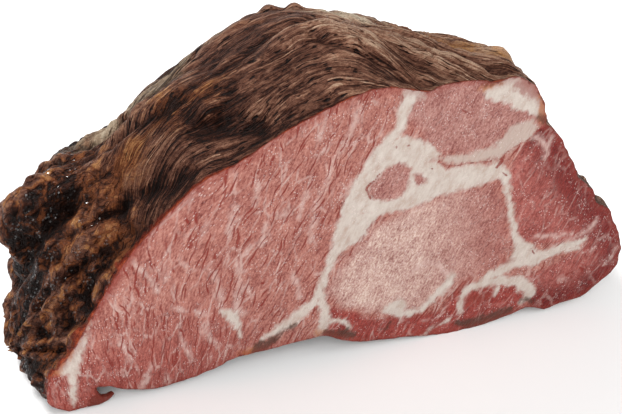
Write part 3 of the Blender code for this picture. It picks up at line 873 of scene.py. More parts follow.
@dataclass
class Bench:
    """Sets out nodes in one tree and wires them."""

    tree: bpy.types.NodeTree

    def node(self, kind: str, **settings: object) -> bpy.types.Node:
        """Add a node.

        Args:
            kind: Blender's name of its type.
            settings: Its own settings by name.

        Returns:
            The node.
        """
        made = self.tree.nodes.new(kind)
        for name, value in settings.items():
            setattr(made, name, value)
        return made

    def feed(self, socket: Socket, source: Feed) -> None:
        """Wire a socket, or set its value.

        Args:
            socket: The input.
            source: An output, a number or a colour.
        """
        if isinstance(source, bpy.types.NodeSocket):
            self.tree.links.new(source, socket)
        elif isinstance(source, tuple) and len(source) < len(socket.default_value):
            socket.default_value = (*source, 1.0)
        else:
            socket.default_value = source

    def math(self, operation: str, first: Feed, second: Feed = 0.0, third: Feed = 0.0) -> Socket:
        """A Math node.

        Args:
            operation: What it does.
            first: Its first number.
            second: Its second number.
            third: Its third number.

        Returns:
            The result.
        """
        made = self.node("ShaderNodeMath", operation=operation)
        for socket, source in zip(made.inputs, (first, second, third)):
            self.feed(socket, source)
        return made.outputs[0]

    def times(self, first: Feed, second: Feed) -> Socket:
        """The product of two numbers."""
        return self.math("MULTIPLY", first, second)

    def plus(self, value: Feed, weight: Feed, total: Feed) -> Socket:
        """A weighted value added to a total."""
        return self.math("MULTIPLY_ADD", value, weight, total)

    def less(self, value: Feed, taken: Feed) -> Socket:
        """What is left of a value when a number is taken from it."""
        return self.math("SUBTRACT", value, taken)

    def most(self, first: Feed, second: Feed) -> Socket:
        """The larger of two numbers."""
        return self.math("MAXIMUM", first, second)

    def centred(self, value: Socket, middle: float, weight: float, total: Feed = 0.0) -> Socket:
        """Add a value, taken from its middle and weighted, to a total.

        Args:
            value: The value.
            middle: What counts as none of it.
            weight: How much it counts.
            total: What it is added to.

        Returns:
            The new total.
        """
        return self.plus(self.less(value, middle), weight, total)

    def share(self, value: Feed, start: float, end: float, low: float = 0.0, high: float = 1.0) -> Socket:
        """Ease a value from one range into another.

        Args:
            value: The value.
            start: Where the result is low.
            end: Where the result is high.
            low: The result at start.
            high: The result at end.

        Returns:
            The eased value.
        """
        made = self.node("ShaderNodeMapRange", interpolation_type="SMOOTHSTEP")
        for socket, source in zip(made.inputs, (value, start, end, low, high)):
            self.feed(socket, source)
        return made.outputs[0]

    def mix(self, share: Feed, first: Feed, second: Feed, blend: Blend = Blend.MIX) -> Socket:
        """Mix two colours.

        Args:
            share: How much of the second.
            first: The first colour.
            second: The second colour.
            blend: How they are put together.

        Returns:
            The colour.
        """
        made = self.node("ShaderNodeMix", data_type="RGBA", blend_type=blend.value)
        self.feed(made.inputs["Factor"], share)
        self.feed(made.inputs[6], first)
        self.feed(made.inputs[7], second)
        return made.outputs[2]

    def ramp(self, value: Feed, stops: Ramp) -> Socket:
        """Colours along a value.

        Args:
            value: The value.
            stops: Places from 0 to 1, each with its colour.

        Returns:
            The colour.
        """
        made = self.node("ShaderNodeValToRGB")
        band = made.color_ramp
        while len(band.elements) < len(stops):
            band.elements.new(0.5)
        for element, (place, colour) in zip(band.elements, stops):
            element.position = place
            element.color = colour
        self.feed(made.inputs[0], value)
        return made.outputs[0]

    def vector_math(self, operation: str, *sources: Feed) -> Socket:
        """A Vector Math node.

        Args:
            operation: What it does.
            sources: Its vectors.

        Returns:
            The vector.
        """
        made = self.node("ShaderNodeVectorMath", operation=operation)
        for socket, source in zip(made.inputs, sources):
            self.feed(socket, source)
        return made.outputs[0]

    def stretch(self, vector: Socket, sizes: Sizes, shift: float = 0.0) -> Socket:
        """A vector in units of a pattern's own size.

        Args:
            vector: A vector in millimetres.
            sizes: The pattern's size along each axis, in millimetres.
            shift: How far the pattern is moved, in its own units.

        Returns:
            The vector.
        """
        scale = tuple(1.0 / size for size in sizes)
        return self.vector_math("MULTIPLY_ADD", vector, scale, (shift, shift, shift))

    def in_units(self, vector: Socket, length: Socket, width: Socket) -> Socket:
        """A vector in units that the material gives.

        Args:
            vector: A vector in millimetres, its first number along the grain.
            length: The unit along the grain.
            width: The unit across it.

        Returns:
            The vector.
        """
        sizes = self.node("ShaderNodeCombineXYZ")
        for socket, source in zip(sizes.inputs, (length, width, width)):
            self.feed(socket, source)
        return self.vector_math("DIVIDE", vector, sizes.outputs[0])

    def warp(self, vector: Socket, size: float, reach: Feed) -> Socket:
        """Sway a vector with soft noise.

        Args:
            vector: The vector.
            size: Size of the noise.
            reach: How far it sways.

        Returns:
            The swayed vector.
        """
        drift = self.node("ShaderNodeTexNoise")
        self.feed(drift.inputs["Vector"], self.stretch(vector, (size, size, size)))
        drift.inputs["Scale"].default_value = 1.0
        drift.inputs["Detail"].default_value = 1.0
        swung = self.node("ShaderNodeVectorMath", operation="SCALE")
        self.feed(swung.inputs[0], self.vector_math("SUBTRACT", drift.outputs["Color"], (0.5, 0.5, 0.5)))
        self.feed(swung.inputs["Scale"], reach)
        return self.vector_math("ADD", vector, swung.outputs[0])

    def noise(
        self, vector: Socket, sizes: Sizes, shift: float = 0.0, detail: float = 2.0, roughness: float = 0.5,
        distortion: float = 0.0,
    ) -> Socket:
        """Noise from 0 to 1.

        Args:
            vector: Where to read it, in millimetres.
            sizes: The size of its cells along each axis.
            shift: How far it is moved, in its own units.
            detail: Octaves.
            roughness: How strong the finer octaves are.
            distortion: How far it is distorted.

        Returns:
            The value.
        """
        made = self.node("ShaderNodeTexNoise")
        self.feed(made.inputs["Vector"], self.stretch(vector, sizes, shift))
        settings = {"Scale": 1.0, "Detail": detail, "Roughness": roughness, "Distortion": distortion}
        for name, value in settings.items():
            made.inputs[name].default_value = value
        return made.outputs[0]

    def cells(self, vector: Socket, sizes: Sizes, shift: float, measure: Measure) -> Socket:
        """Distance in a pattern of cells.

        Args:
            vector: Where to read it, in millimetres.
            sizes: The cells' size along each axis.
            shift: How far the pattern is moved, in its own units.
            measure: What the distance is taken to.

        Returns:
            The distance, in cells.
        """
        made = self.node("ShaderNodeTexVoronoi", feature=measure.value)
        self.feed(made.inputs["Vector"], self.stretch(vector, sizes, shift))
        made.inputs["Scale"].default_value = 1.0
        return made.outputs["Distance"]

    def bump(self, height: Socket, distance: float) -> Socket:
        """A normal from a height.

        Args:
            height: The height, 0 to 1.
            distance: What a height of 1 is in metres.

        Returns:
            The normal.
        """
        made = self.node("ShaderNodeBump")
        made.inputs["Distance"].default_value = distance
        made.inputs["Strength"].default_value = 1.0
        self.feed(made.inputs["Height"], height)
        return made.outputs[0]

    def value(self, name: str) -> Socket:
        """Read one of the mesh's own numbers."""
        return self.node("ShaderNodeAttribute", attribute_name=name).outputs["Fac"]

    def vector(self, name: str) -> Socket:
        """Read one of the mesh's own vectors."""
        return self.node("ShaderNodeAttribute", attribute_name=name).outputs["Vector"]

    def axes(self, vector: Socket) -> tuple[Socket, Socket, Socket]:
        """The three numbers of a vector."""
        made = self.node("ShaderNodeSeparateXYZ")
        self.feed(made.inputs[0], vector)
        return made.outputs[0], made.outputs[1], made.outputs[2]


class MeatGroup:
    """A node group that the skin and the cut both place, each with its own values.

    Its first input is the grain.
    """

    name: str
    numbers: tuple[tuple[str, float], ...]
    results: tuple[str, ...]

    def wire(self, bench: Bench, given: dict[str, Socket]) -> tuple[Socket, ...]:
        """Set out the nodes.

        Args:
            bench: The group's bench.
            given: The group's inputs by name.

        Returns:
            A socket for each result.
        """
        raise NotImplementedError

    def build(self) -> bpy.types.NodeTree:
        """Build the group once.

        Returns:
            The group.
        """
        group = bpy.data.node_groups.new(self.name, "ShaderNodeTree")
        face = group.interface
        face.new_socket("Grain", in_out="INPUT", socket_type="NodeSocketVector")
        for name, value in self.numbers:
            face.new_socket(name, in_out="INPUT", socket_type="NodeSocketFloat").default_value = value
        for name in self.results:
            face.new_socket(name, in_out="OUTPUT", socket_type="NodeSocketFloat")
        bench = Bench(group)
        given = dict(bench.node("NodeGroupInput").outputs.items())
        shown = bench.node("NodeGroupOutput").inputs
        for name, result in zip(self.results, self.wire(bench, given)):
            bench.feed(shown[name], result)
        return group

    def use(self, bench: Bench, grain: Socket, *values: float) -> tuple[Socket, ...]:
        """Place the group in a material.

        Args:
            bench: The material's bench.
            grain: The grain coordinates, in millimetres.
            values: The group's numbers in order, the last ones left out where they stay as they are.

        Returns:
            The group's results.
        """
        tree = bpy.data.node_groups.get(self.name) or self.build()
        made = bench.node("ShaderNodeGroup", node_tree=tree)
        for socket, source in zip(made.inputs, (grain, *values)):
            bench.feed(socket, source)
        return tuple(made.outputs)


class FibreGroup(MeatGroup):
    """Fibres that follow the grain: bundles and threads, each from 0 to 1."""

    name = "meat_fibres"
    numbers = (("Length", 8.0), ("Width", 1.0), ("Waver", 0.6))
    results = ("Bundles", "Threads")

    def wire(self, bench: Bench, given: dict[str, Socket]) -> tuple[Socket, ...]:
        """Set out the nodes.

        Args:
            bench: The group's bench.
            given: Length and width of a bundle, in millimetres, and how much it wavers.

        Returns:
            Bundles and threads.
        """
        moved = bench.warp(given["Grain"], 9.0, bench.times(given["Waver"], 6.0))
        place = bench.in_units(moved, given["Length"], given["Width"])
        folded = bench.math("ABSOLUTE", bench.less(bench.noise(place, AS_IT_IS, roughness=0.55), 0.5))
        threads = bench.noise(place, (0.5, 0.3, 0.3), 7.0, detail=3.0, roughness=0.6)
        return bench.math("MINIMUM", bench.times(folded, 5.0), 1.0), threads


class StrokeGroup(MeatGroup):
    """Separate strokes that lie along the grain.

    It gives the distance across in spacings, the distance along in lengths, and a chance from 0 to 1.
    """

    name = "meat_strokes"
    numbers = (("Length", 8.0), ("Spacing", 1.0), ("Tilt", 1.0), ("Depth", 0.0))
    results = ("Across", "Along", "Chance")

    def wire(self, bench: Bench, given: dict[str, Socket]) -> tuple[Socket, ...]:
        """Set out the nodes.

        Args:
            bench: The group's bench.
            given: Length and spacing of the strokes, in millimetres, how far their directions differ, and how
                much their depth under the surface counts.

        Returns:
            Distance across, distance along and chance.
        """
        place = bench.in_units(given["Grain"], given["Length"], given["Spacing"])
        cell = bench.node("ShaderNodeTexVoronoi")
        bench.feed(cell.inputs["Vector"], place)
        cell.inputs["Scale"].default_value = 1.0
        cell.inputs["Randomness"].default_value = 0.85
        along, across, below = bench.axes(bench.vector_math("SUBTRACT", place, cell.outputs["Position"]))
        tilt, chance, _ = bench.axes(cell.outputs["Color"])
        turned = bench.times(bench.less(tilt, 0.5), bench.times(given["Tilt"], along))
        across = bench.math("ADD", across, turned)
        below = bench.times(below, given["Depth"])
        squared = bench.plus(below, below, bench.times(across, across))
        return bench.math("SQRT", squared), bench.math("ABSOLUTE", along), chance


FIBRES = FibreGroup()
STROKES = StrokeGroup()


def new_material(name: str) -> tuple[bpy.types.Material, Bench, bpy.types.Node]:
    """Start a material.

    Args:
        name: Its name.

    Returns:
        The material, a bench for its tree and its shader.
    """
    material = bpy.data.materials.new(name)
    material.use_nodes = True
    return material, Bench(material.node_tree), material.node_tree.nodes["Principled BSDF"]


@dataclass(frozen=True)
class BarkFinish:
    """The smoked skin: dark between its strands and brown on them, partly as painted shade and painted
    highlight; partly amber, ashen with a painted sheen, and wet on the left.
    """

    browns: Ramp = (
        (0.0, tone(22, 9, 5)),
        (0.25, tone(60, 29, 18)),
        (0.5, tone(116, 74, 57)),
        (0.75, tone(166, 120, 96)),
        (1.0, tone(216, 178, 150)),
    )
    ambers: Ramp = (
        (0.05, tone(40, 17, 8)),
        (0.5, tone(130, 72, 40)),
        (0.95, tone(206, 148, 94)),
    )
    ash_and_sheen_tones: Ramp = (
        (0.05, tone(110, 88, 70)),
        (0.5, tone(188, 162, 134)),
        (0.95, tone(240, 220, 192)),
    )
    glow: tuple[float, ...] = tone(122, 38, 20)
    # The lighter orange at the rim's very edge: partly the smoke ring's own orange, partly painted highlight.
    rim_highlight: tuple[float, ...] = tone(190, 86, 52)
    roughness: tuple[float, float] = (0.62, 0.56)
    wet_roughness: float = 0.42
    shine: float = 0.09
    coat_roughness: float = 0.05
    left_lean: float = LEFT_LEAN

    def material(self) -> bpy.types.Material:
        """Build the material.

        Returns:
            The material.
        """
        material, bench, shader = new_material("smoked_bark")
        grain = bench.vector("grain")
        relief = bench.value("relief")
        amber, ash_and_sheen, wet = bench.axes(bench.vector("smoke"))
        lightness = bench.value("lightness")
        rim = bench.value("depth")
        turned = bench.node("ShaderNodeVectorRotate", rotation_type="Y_AXIS")
        place = bench.node("ShaderNodeTexCoord").outputs["Object"]
        bench.feed(turned.inputs["Vector"], bench.stretch(place, (MM, MM, MM)))
        turned.inputs["Angle"].default_value = self.left_lean
        spot = turned.outputs[0]
        bent = bench.warp(grain, 9.0, 2.6)
        satin = bench.share(wet, 0.0, 0.6)
        dry_share = bench.plus(satin, -0.92, 1.0)
        wet = bench.share(wet, 0.3, 0.9)
        fibres = 0.0
        for length, spacing, weight in ((7.0, 0.75, 0.9), (14.0, 2.0, 0.25)):
            across, _, chance = STROKES.use(bench, bent, length, spacing, 1.4, 1.0)
            fibres = bench.plus(bench.less(chance, 0.5), bench.share(across, 0.75, 0.1, 0.0, weight), fibres)
        _, threads = FIBRES.use(bench, grain, 12.0, 3.2, 1.3)
        blobs = bench.cells(bench.warp(spot, 4.0, 5.5), (9.5, 3.6, 4.0), 11.0, Measure.EDGE)
        crease = bench.times(bench.share(blobs, 0.1, 0.0), satin)
        hairs = bench.noise(bent, (3.0, 0.34, 0.34), roughness=0.6)
        crinkle = bench.noise(spot, (1.5, 1.0, 1.2), detail=3.0, roughness=0.6, distortion=0.8)
        lumps = bench.noise(spot, (5.0, 3.0, 3.4), 6.0, detail=4.0, roughness=0.6, distortion=1.0)
        mottle = bench.noise(grain, (11.0, 6.0, 6.0), detail=4.0, roughness=0.6)
        height = bench.centred(hairs, 0.5, 1.0, fibres)
        height = bench.centred(threads, 0.5, 0.25, height)
        gaps = bench.share(bench.noise(bent, (3.4, 0.8, 0.8), 9.0), 0.4, 0.3)
        height = bench.times(bench.plus(gaps, -0.8, height), dry_share)
        height = bench.centred(crinkle, 0.5, 0.9, height)
        height = bench.plus(bench.less(lumps, 0.5), bench.plus(satin, 1.0, 0.5), height)
        height = bench.plus(crease, -0.2, height)
        height = bench.plus(bench.times(blobs, satin), 0.45, height)
        # The valleys of the skin's relief darken its colour: painted shade.
        painted_hollow_shade = bench.share(relief, -1.9, 1.6, -0.28, 0.28)
        # The colour follows the height: darker in the valleys between the strands and lighter on their
        # ridges, painted shade and painted highlight laid on the skin's own tone.
        level = bench.math("ADD", bench.plus(height, 0.74, lightness), painted_hollow_shade)
        level = bench.centred(mottle, 0.5, 0.7, bench.plus(satin, -0.05, level))
        colour = bench.ramp(level, self.browns)
        # Amber on the raised lumps of the wet left end: painted highlight where the folds catch the light, on
        # the skin's own amber.
        lump_highlight = bench.times(bench.share(lumps, 0.46, 0.64), bench.times(satin, 0.95))
        amber = bench.centred(mottle, 0.5, 1.6, bench.most(amber, lump_highlight))
        amber = bench.share(bench.centred(crinkle, 0.5, 0.8, amber), 0.14, 0.75)
        colour = bench.mix(amber, colour, bench.ramp(level, self.ambers))
        # Pale grey along the far horizon of the crown: partly the crust's own ashen tone, partly painted
        # sheen of the back light.
        ash_and_sheen_reach = bench.share(ash_and_sheen, 0.04, 0.45)
        ash_and_sheen = bench.times(bench.share(bench.centred(mottle, 0.5, 3.2, ash_and_sheen), 0.2, 0.95, 0.0, 0.9), ash_and_sheen_reach)
        colour = bench.mix(ash_and_sheen, colour, bench.ramp(level, self.ash_and_sheen_tones))
        patchy = bench.noise(spot, (3.0, 3.0, 3.0), 17.0, detail=3.0, roughness=0.6)
        rim_reach = bench.centred(patchy, 0.5, 3.4, rim)
        # The smoke ring's own red, with a lighter orange in patches right at the rim's edge, which is painted
        # highlight.
        glow = bench.mix(bench.share(rim_reach, 0.4, -0.3), self.glow, self.rim_highlight)
        colour = bench.mix(bench.share(rim_reach, 1.25, 0.2, 0.0, 0.9), colour, glow)
        bench.feed(shader.inputs["Base Color"], colour)
        dry = bench.share(level, 0.2, 0.8, *self.roughness)
        rough = bench.node("ShaderNodeMix", data_type="FLOAT")
        bench.feed(rough.inputs[0], wet)
        bench.feed(rough.inputs[2], dry)
        bench.feed(rough.inputs[3], self.wet_roughness)
        bench.feed(shader.inputs["Roughness"], rough.outputs[0])
        shader.inputs["Specular IOR Level"].default_value = self.shine
        beads = bench.share(bench.cells(spot, (1.2, 0.9, 0.9), 5.0, Measure.MIDDLE), 0.5, 0.0)
        pools = bench.share(bench.noise(spot, (6.0, 4.0, 4.0), 3.0), 0.5, 0.6)
        drops = bench.times(beads, bench.times(pools, wet))
        bench.feed(shader.inputs["Coat Weight"], bench.share(drops, 0.08, 0.4, 0.0, 0.7))
        shader.inputs["Coat Roughness"].default_value = self.coat_roughness
        bench.feed(shader.inputs["Normal"], bench.bump(bench.plus(drops, 0.3, height), 0.0018))
        return material


@dataclass(frozen=True)
class CutFinish:
    """The cut meat: muscles of several reds, white fat, grey film, cracks, and smoke-reddened rims."""

    lean: tuple[float, ...] = tone(178, 113, 101)
    pale: tuple[float, ...] = tone(208, 170, 158)
    centre: tuple[float, ...] = tone(170, 101, 92)
    mauve: tuple[float, ...] = tone(178, 122, 113)
    deep: tuple[float, ...] = tone(168, 88, 80)
    low: tuple[float, ...] = tone(157, 62, 54)
    outer: tuple[float, ...] = tone(118, 26, 21)
    fats: Ramp = (
        (0.28, tone(198, 172, 158)),
        (0.5, tone(214, 199, 188)),
        (0.72, tone(228, 216, 206)),
    )
    vein: tuple[float, ...] = tone(224, 192, 182)
    glint: tuple[float, ...] = tone(240, 220, 214)
    film: tuple[float, ...] = tone(206, 188, 176)
    crack: tuple[float, ...] = tone(140, 44, 34)
    crust: tuple[float, ...] = tone(88, 54, 42)
    yellow: tuple[float, ...] = tone(190, 118, 64)
    red: tuple[float, ...] = tone(148, 58, 46)
    smoked: tuple[float, ...] = tone(112, 38, 26)
    shine: float = 0.18

    def muscle(self, bench: Bench, grain: Socket, calm: Socket, rim: Socket) -> Socket:
        """The colour of the muscles before any fat.

        Args:
            bench: The material's bench.
            grain: The grain coordinates.
            calm: How even the muscle is.
            rim: Distance from the rim.

        Returns:
            The colour.
        """
        pale, mauve, deep = bench.axes(bench.vector("zone"))
        low = bench.value("low")
        _, threads = FIBRES.use(bench, grain, 5.0, 1.1, 0.5)
        speck = bench.noise(grain, (0.8, 0.55, 0.55), roughness=0.7)
        mottle = bench.noise(grain, (8.0, 4.5, 4.5), detail=3.0, roughness=0.6)
        dashes = bench.noise(grain, (2.0, 0.6, 0.6), 2.0, detail=3.0, roughness=0.65)
        colour = bench.mix(calm, self.lean, self.centre)
        for share, shown in ((pale, self.pale), (mauve, self.mauve), (deep, self.deep), (low, self.low)):
            colour = bench.mix(share, colour, shown)
        colour = bench.mix(bench.times(bench.share(rim, 14.0, 2.5), deep), colour, self.outer)
        shade = bench.centred(threads, 0.5, 0.7, 1.0)
        shade = bench.centred(dashes, 0.5, 1.4, shade)
        shade = bench.centred(speck, 0.5, 2.0, shade)
        shade = bench.centred(mottle, 0.5, 1.1, shade)
        tinted = bench.node("ShaderNodeCombineXYZ")
        for socket, power in zip(tinted.inputs, (0.8, 1.35, 1.35)):
            bench.feed(socket, bench.math("POWER", shade, power))
        return bench.mix(1.0, colour, tinted.outputs[0], Blend.MULTIPLY)

    def veins(self, bench: Bench, grain: Socket, calm: Socket, off: Socket) -> Socket:
        """How much of the colour is white web, vein, streak or squiggle.

        Args:
            bench: The material's bench.
            grain: The grain coordinates.
            calm: How even the muscle is.
            off: Small noise round 0, which makes the edges uneven.

        Returns:
            The share.
        """
        coarse = bench.less(1.0, calm)
        bent = bench.stretch(bench.warp(grain, 6.0, 3.0), AS_IT_IS, 31.0)
        across, along, chance = STROKES.use(bench, bent, 13.0, 4.2, 2.0)
        runs = bench.plus(off, 0.3, bench.plus(along, 0.2, across))
        run_line = bench.times(bench.share(runs, 0.2, 0.0), bench.share(chance, 0.3, 0.6))
        web = bench.cells(grain, (9.0, 3.4, 3.4), 4.0, Measure.EDGE)
        web_line = bench.share(bench.plus(off, 0.22, web), 0.1, 0.0)
        patches = bench.noise(grain, (8.0, 5.0, 5.0), 3.0)
        here = bench.times(bench.share(patches, 0.38, 0.66), bench.plus(coarse, 0.8, 0.2))
        web_share = bench.times(bench.most(run_line, web_line), here)
        squiggles, _ = FIBRES.use(bench, bench.stretch(grain, AS_IT_IS, 83.0), 3.4, 2.0, 1.6)
        squiggle = bench.share(bench.plus(off, 0.1, squiggles), 0.12, 0.0)
        spread = bench.share(bench.noise(grain, (5.0, 4.0, 4.0), 14.0), 0.46, 0.62)
        squiggle_share = bench.times(squiggle, bench.times(spread, calm))
        streak = bench.value("streak")
        streak_share = bench.share(bench.plus(off, 3.4, streak), -1.2, 1.1, 0.0, 0.75)
        light = bench.most(bench.times(web_share, 0.6), streak_share)
        return bench.most(light, bench.times(squiggle_share, 0.5))

    def splits(self, bench: Bench, grain: Socket, calm: Socket, off: Socket) -> tuple[Socket, Socket]:
        """How dark the fine splits along the fibres and the drawn cracks are.

        Args:
            bench: The material's bench.
            grain: The grain coordinates.
            calm: How even the muscle is.
            off: Small noise round 0.

        Returns:
            The shares of the splits and of the cracks.
        """
        bent = bench.warp(grain, 6.0, 3.0)
        dark = 0.0
        for shift, length, spacing, low in ((57.0, 8.0, 2.0, 0.5), (23.0, 12.0, 3.1, 0.45)):
            moved = bench.stretch(bent, AS_IT_IS, shift)
            across, along, chance = STROKES.use(bench, moved, length, spacing, 2.4)
            reach = bench.noise(grain, (9.0, 6.0, 6.0), shift)
            cover = bench.share(bench.centred(reach, 0.5, 2.4, chance), low, low + 0.15)
            ends = bench.times(along, along)
            wide = bench.plus(ends, 0.5, bench.plus(off, 0.08, across))
            dark = bench.most(dark, bench.times(bench.share(wide, 0.32 / spacing, 0.08 / spacing), cover))
        split = bench.times(dark, bench.less(1.0, calm))
        crack = bench.value("crack")
        return split, bench.share(bench.plus(off, 1.0, crack), -0.15, 0.2)

    def material(self) -> bpy.types.Material:
        """Build the material.

        Returns:
            The material.
        """
        material, bench, shader = new_material("cut_pork")
        grain = bench.vector("cut_grain")
        calm = bench.value("calm")
        rim = bench.value("rim")
        wobble = bench.noise(grain, (2.0, 1.4, 1.4), detail=3.0, roughness=0.55)
        off = bench.less(wobble, 0.5)
        colour = self.muscle(bench, grain, calm, rim)
        light = self.veins(bench, grain, calm, off)
        colour = bench.mix(light, colour, self.vein)
        film = bench.value("film")
        film_share = bench.share(bench.plus(off, 3.0, film), -1.2, 0.8, 0.0, 0.85)
        colour = bench.mix(film_share, colour, self.film)
        fat = bench.value("fat")
        fat_share = bench.share(bench.plus(off, 2.8, fat), -1.1, 0.7)
        greasy = bench.noise(grain, (4.0, 2.0, 2.0), 21.0, detail=4.0, roughness=0.65)
        colour = bench.mix(fat_share, colour, bench.ramp(greasy, self.fats))
        split, crack = self.splits(bench, grain, calm, off)
        split = bench.times(split, bench.less(1.0, bench.most(fat_share, film_share)))
        dark = bench.most(bench.times(split, 0.9), bench.times(crack, 0.85))
        colour = bench.mix(dark, colour, self.crack)
        # White glints: painted highlights, tiny reflections of the lamps on the wet meat.
        glint_cells = bench.cells(grain, (0.9, 0.6, 0.6), 9.0, Measure.MIDDLE)
        glint_spread = bench.share(bench.noise(grain, (3.0, 3.0, 3.0), 8.0), 0.44, 0.62)
        glint_share = bench.times(bench.share(glint_cells, 0.33, 0.12), glint_spread)
        colour = bench.mix(bench.times(glint_share, 0.7), colour, self.glint)
        crust, yellow, red = bench.axes(bench.vector("stain"))
        stains = ((red, self.red, 0.6), (yellow, self.yellow, 0.75), (crust, self.crust, 0.9))
        for reach, stain, strength in stains:
            here = bench.share(bench.plus(off, 5.0, reach), -1.0, 1.0, 0.0, strength)
            colour = bench.mix(here, colour, stain)
        edge = bench.plus(off, 2.6, rim)
        colour = bench.mix(bench.share(edge, 3.0, 0.4, 0.0, 0.4), colour, self.red)
        colour = bench.mix(bench.share(edge, 0.5, -0.2, 0.0, 0.85), colour, self.smoked)
        bench.feed(shader.inputs["Base Color"], colour)
        fine = bench.noise(grain, (1.6, 0.6, 0.6), 40.0, detail=3.0, roughness=0.7)
        bench.feed(shader.inputs["Roughness"], bench.share(fine, 0.3, 0.7, 0.34, 0.56))
        shader.inputs["Specular IOR Level"].default_value = self.shine
        height = bench.plus(dark, -0.25, fine)
        height = bench.plus(light, 0.2, height)
        bench.feed(shader.inputs["Normal"], bench.bump(height, 0.0006))
        return material


@dataclass(frozen=True)
class FloorFinish:
    """A plain pale floor with a faint, soft unevenness."""

    light: tuple[float, ...] = (0.97, 0.97, 0.968, 1.0)
    shade: tuple[float, ...] = (0.95, 0.95, 0.948, 1.0)
    roughness: float = 0.9

    def material(self) -> bpy.types.Material:
        """Build the material.

        Returns:
            The material.
        """
        material, bench, shader = new_material("pale_floor")
        place = bench.node("ShaderNodeTexCoord").outputs["Object"]
        cloud = bench.noise(place, (0.2, 0.2, 0.2))
        bench.feed(shader.inputs["Base Color"], bench.mix(cloud, self.shade, self.light))
        shader.inputs["Roughness"].default_value = self.roughness
        shader.inputs["Specular IOR Level"].default_value = 0.1
        return material


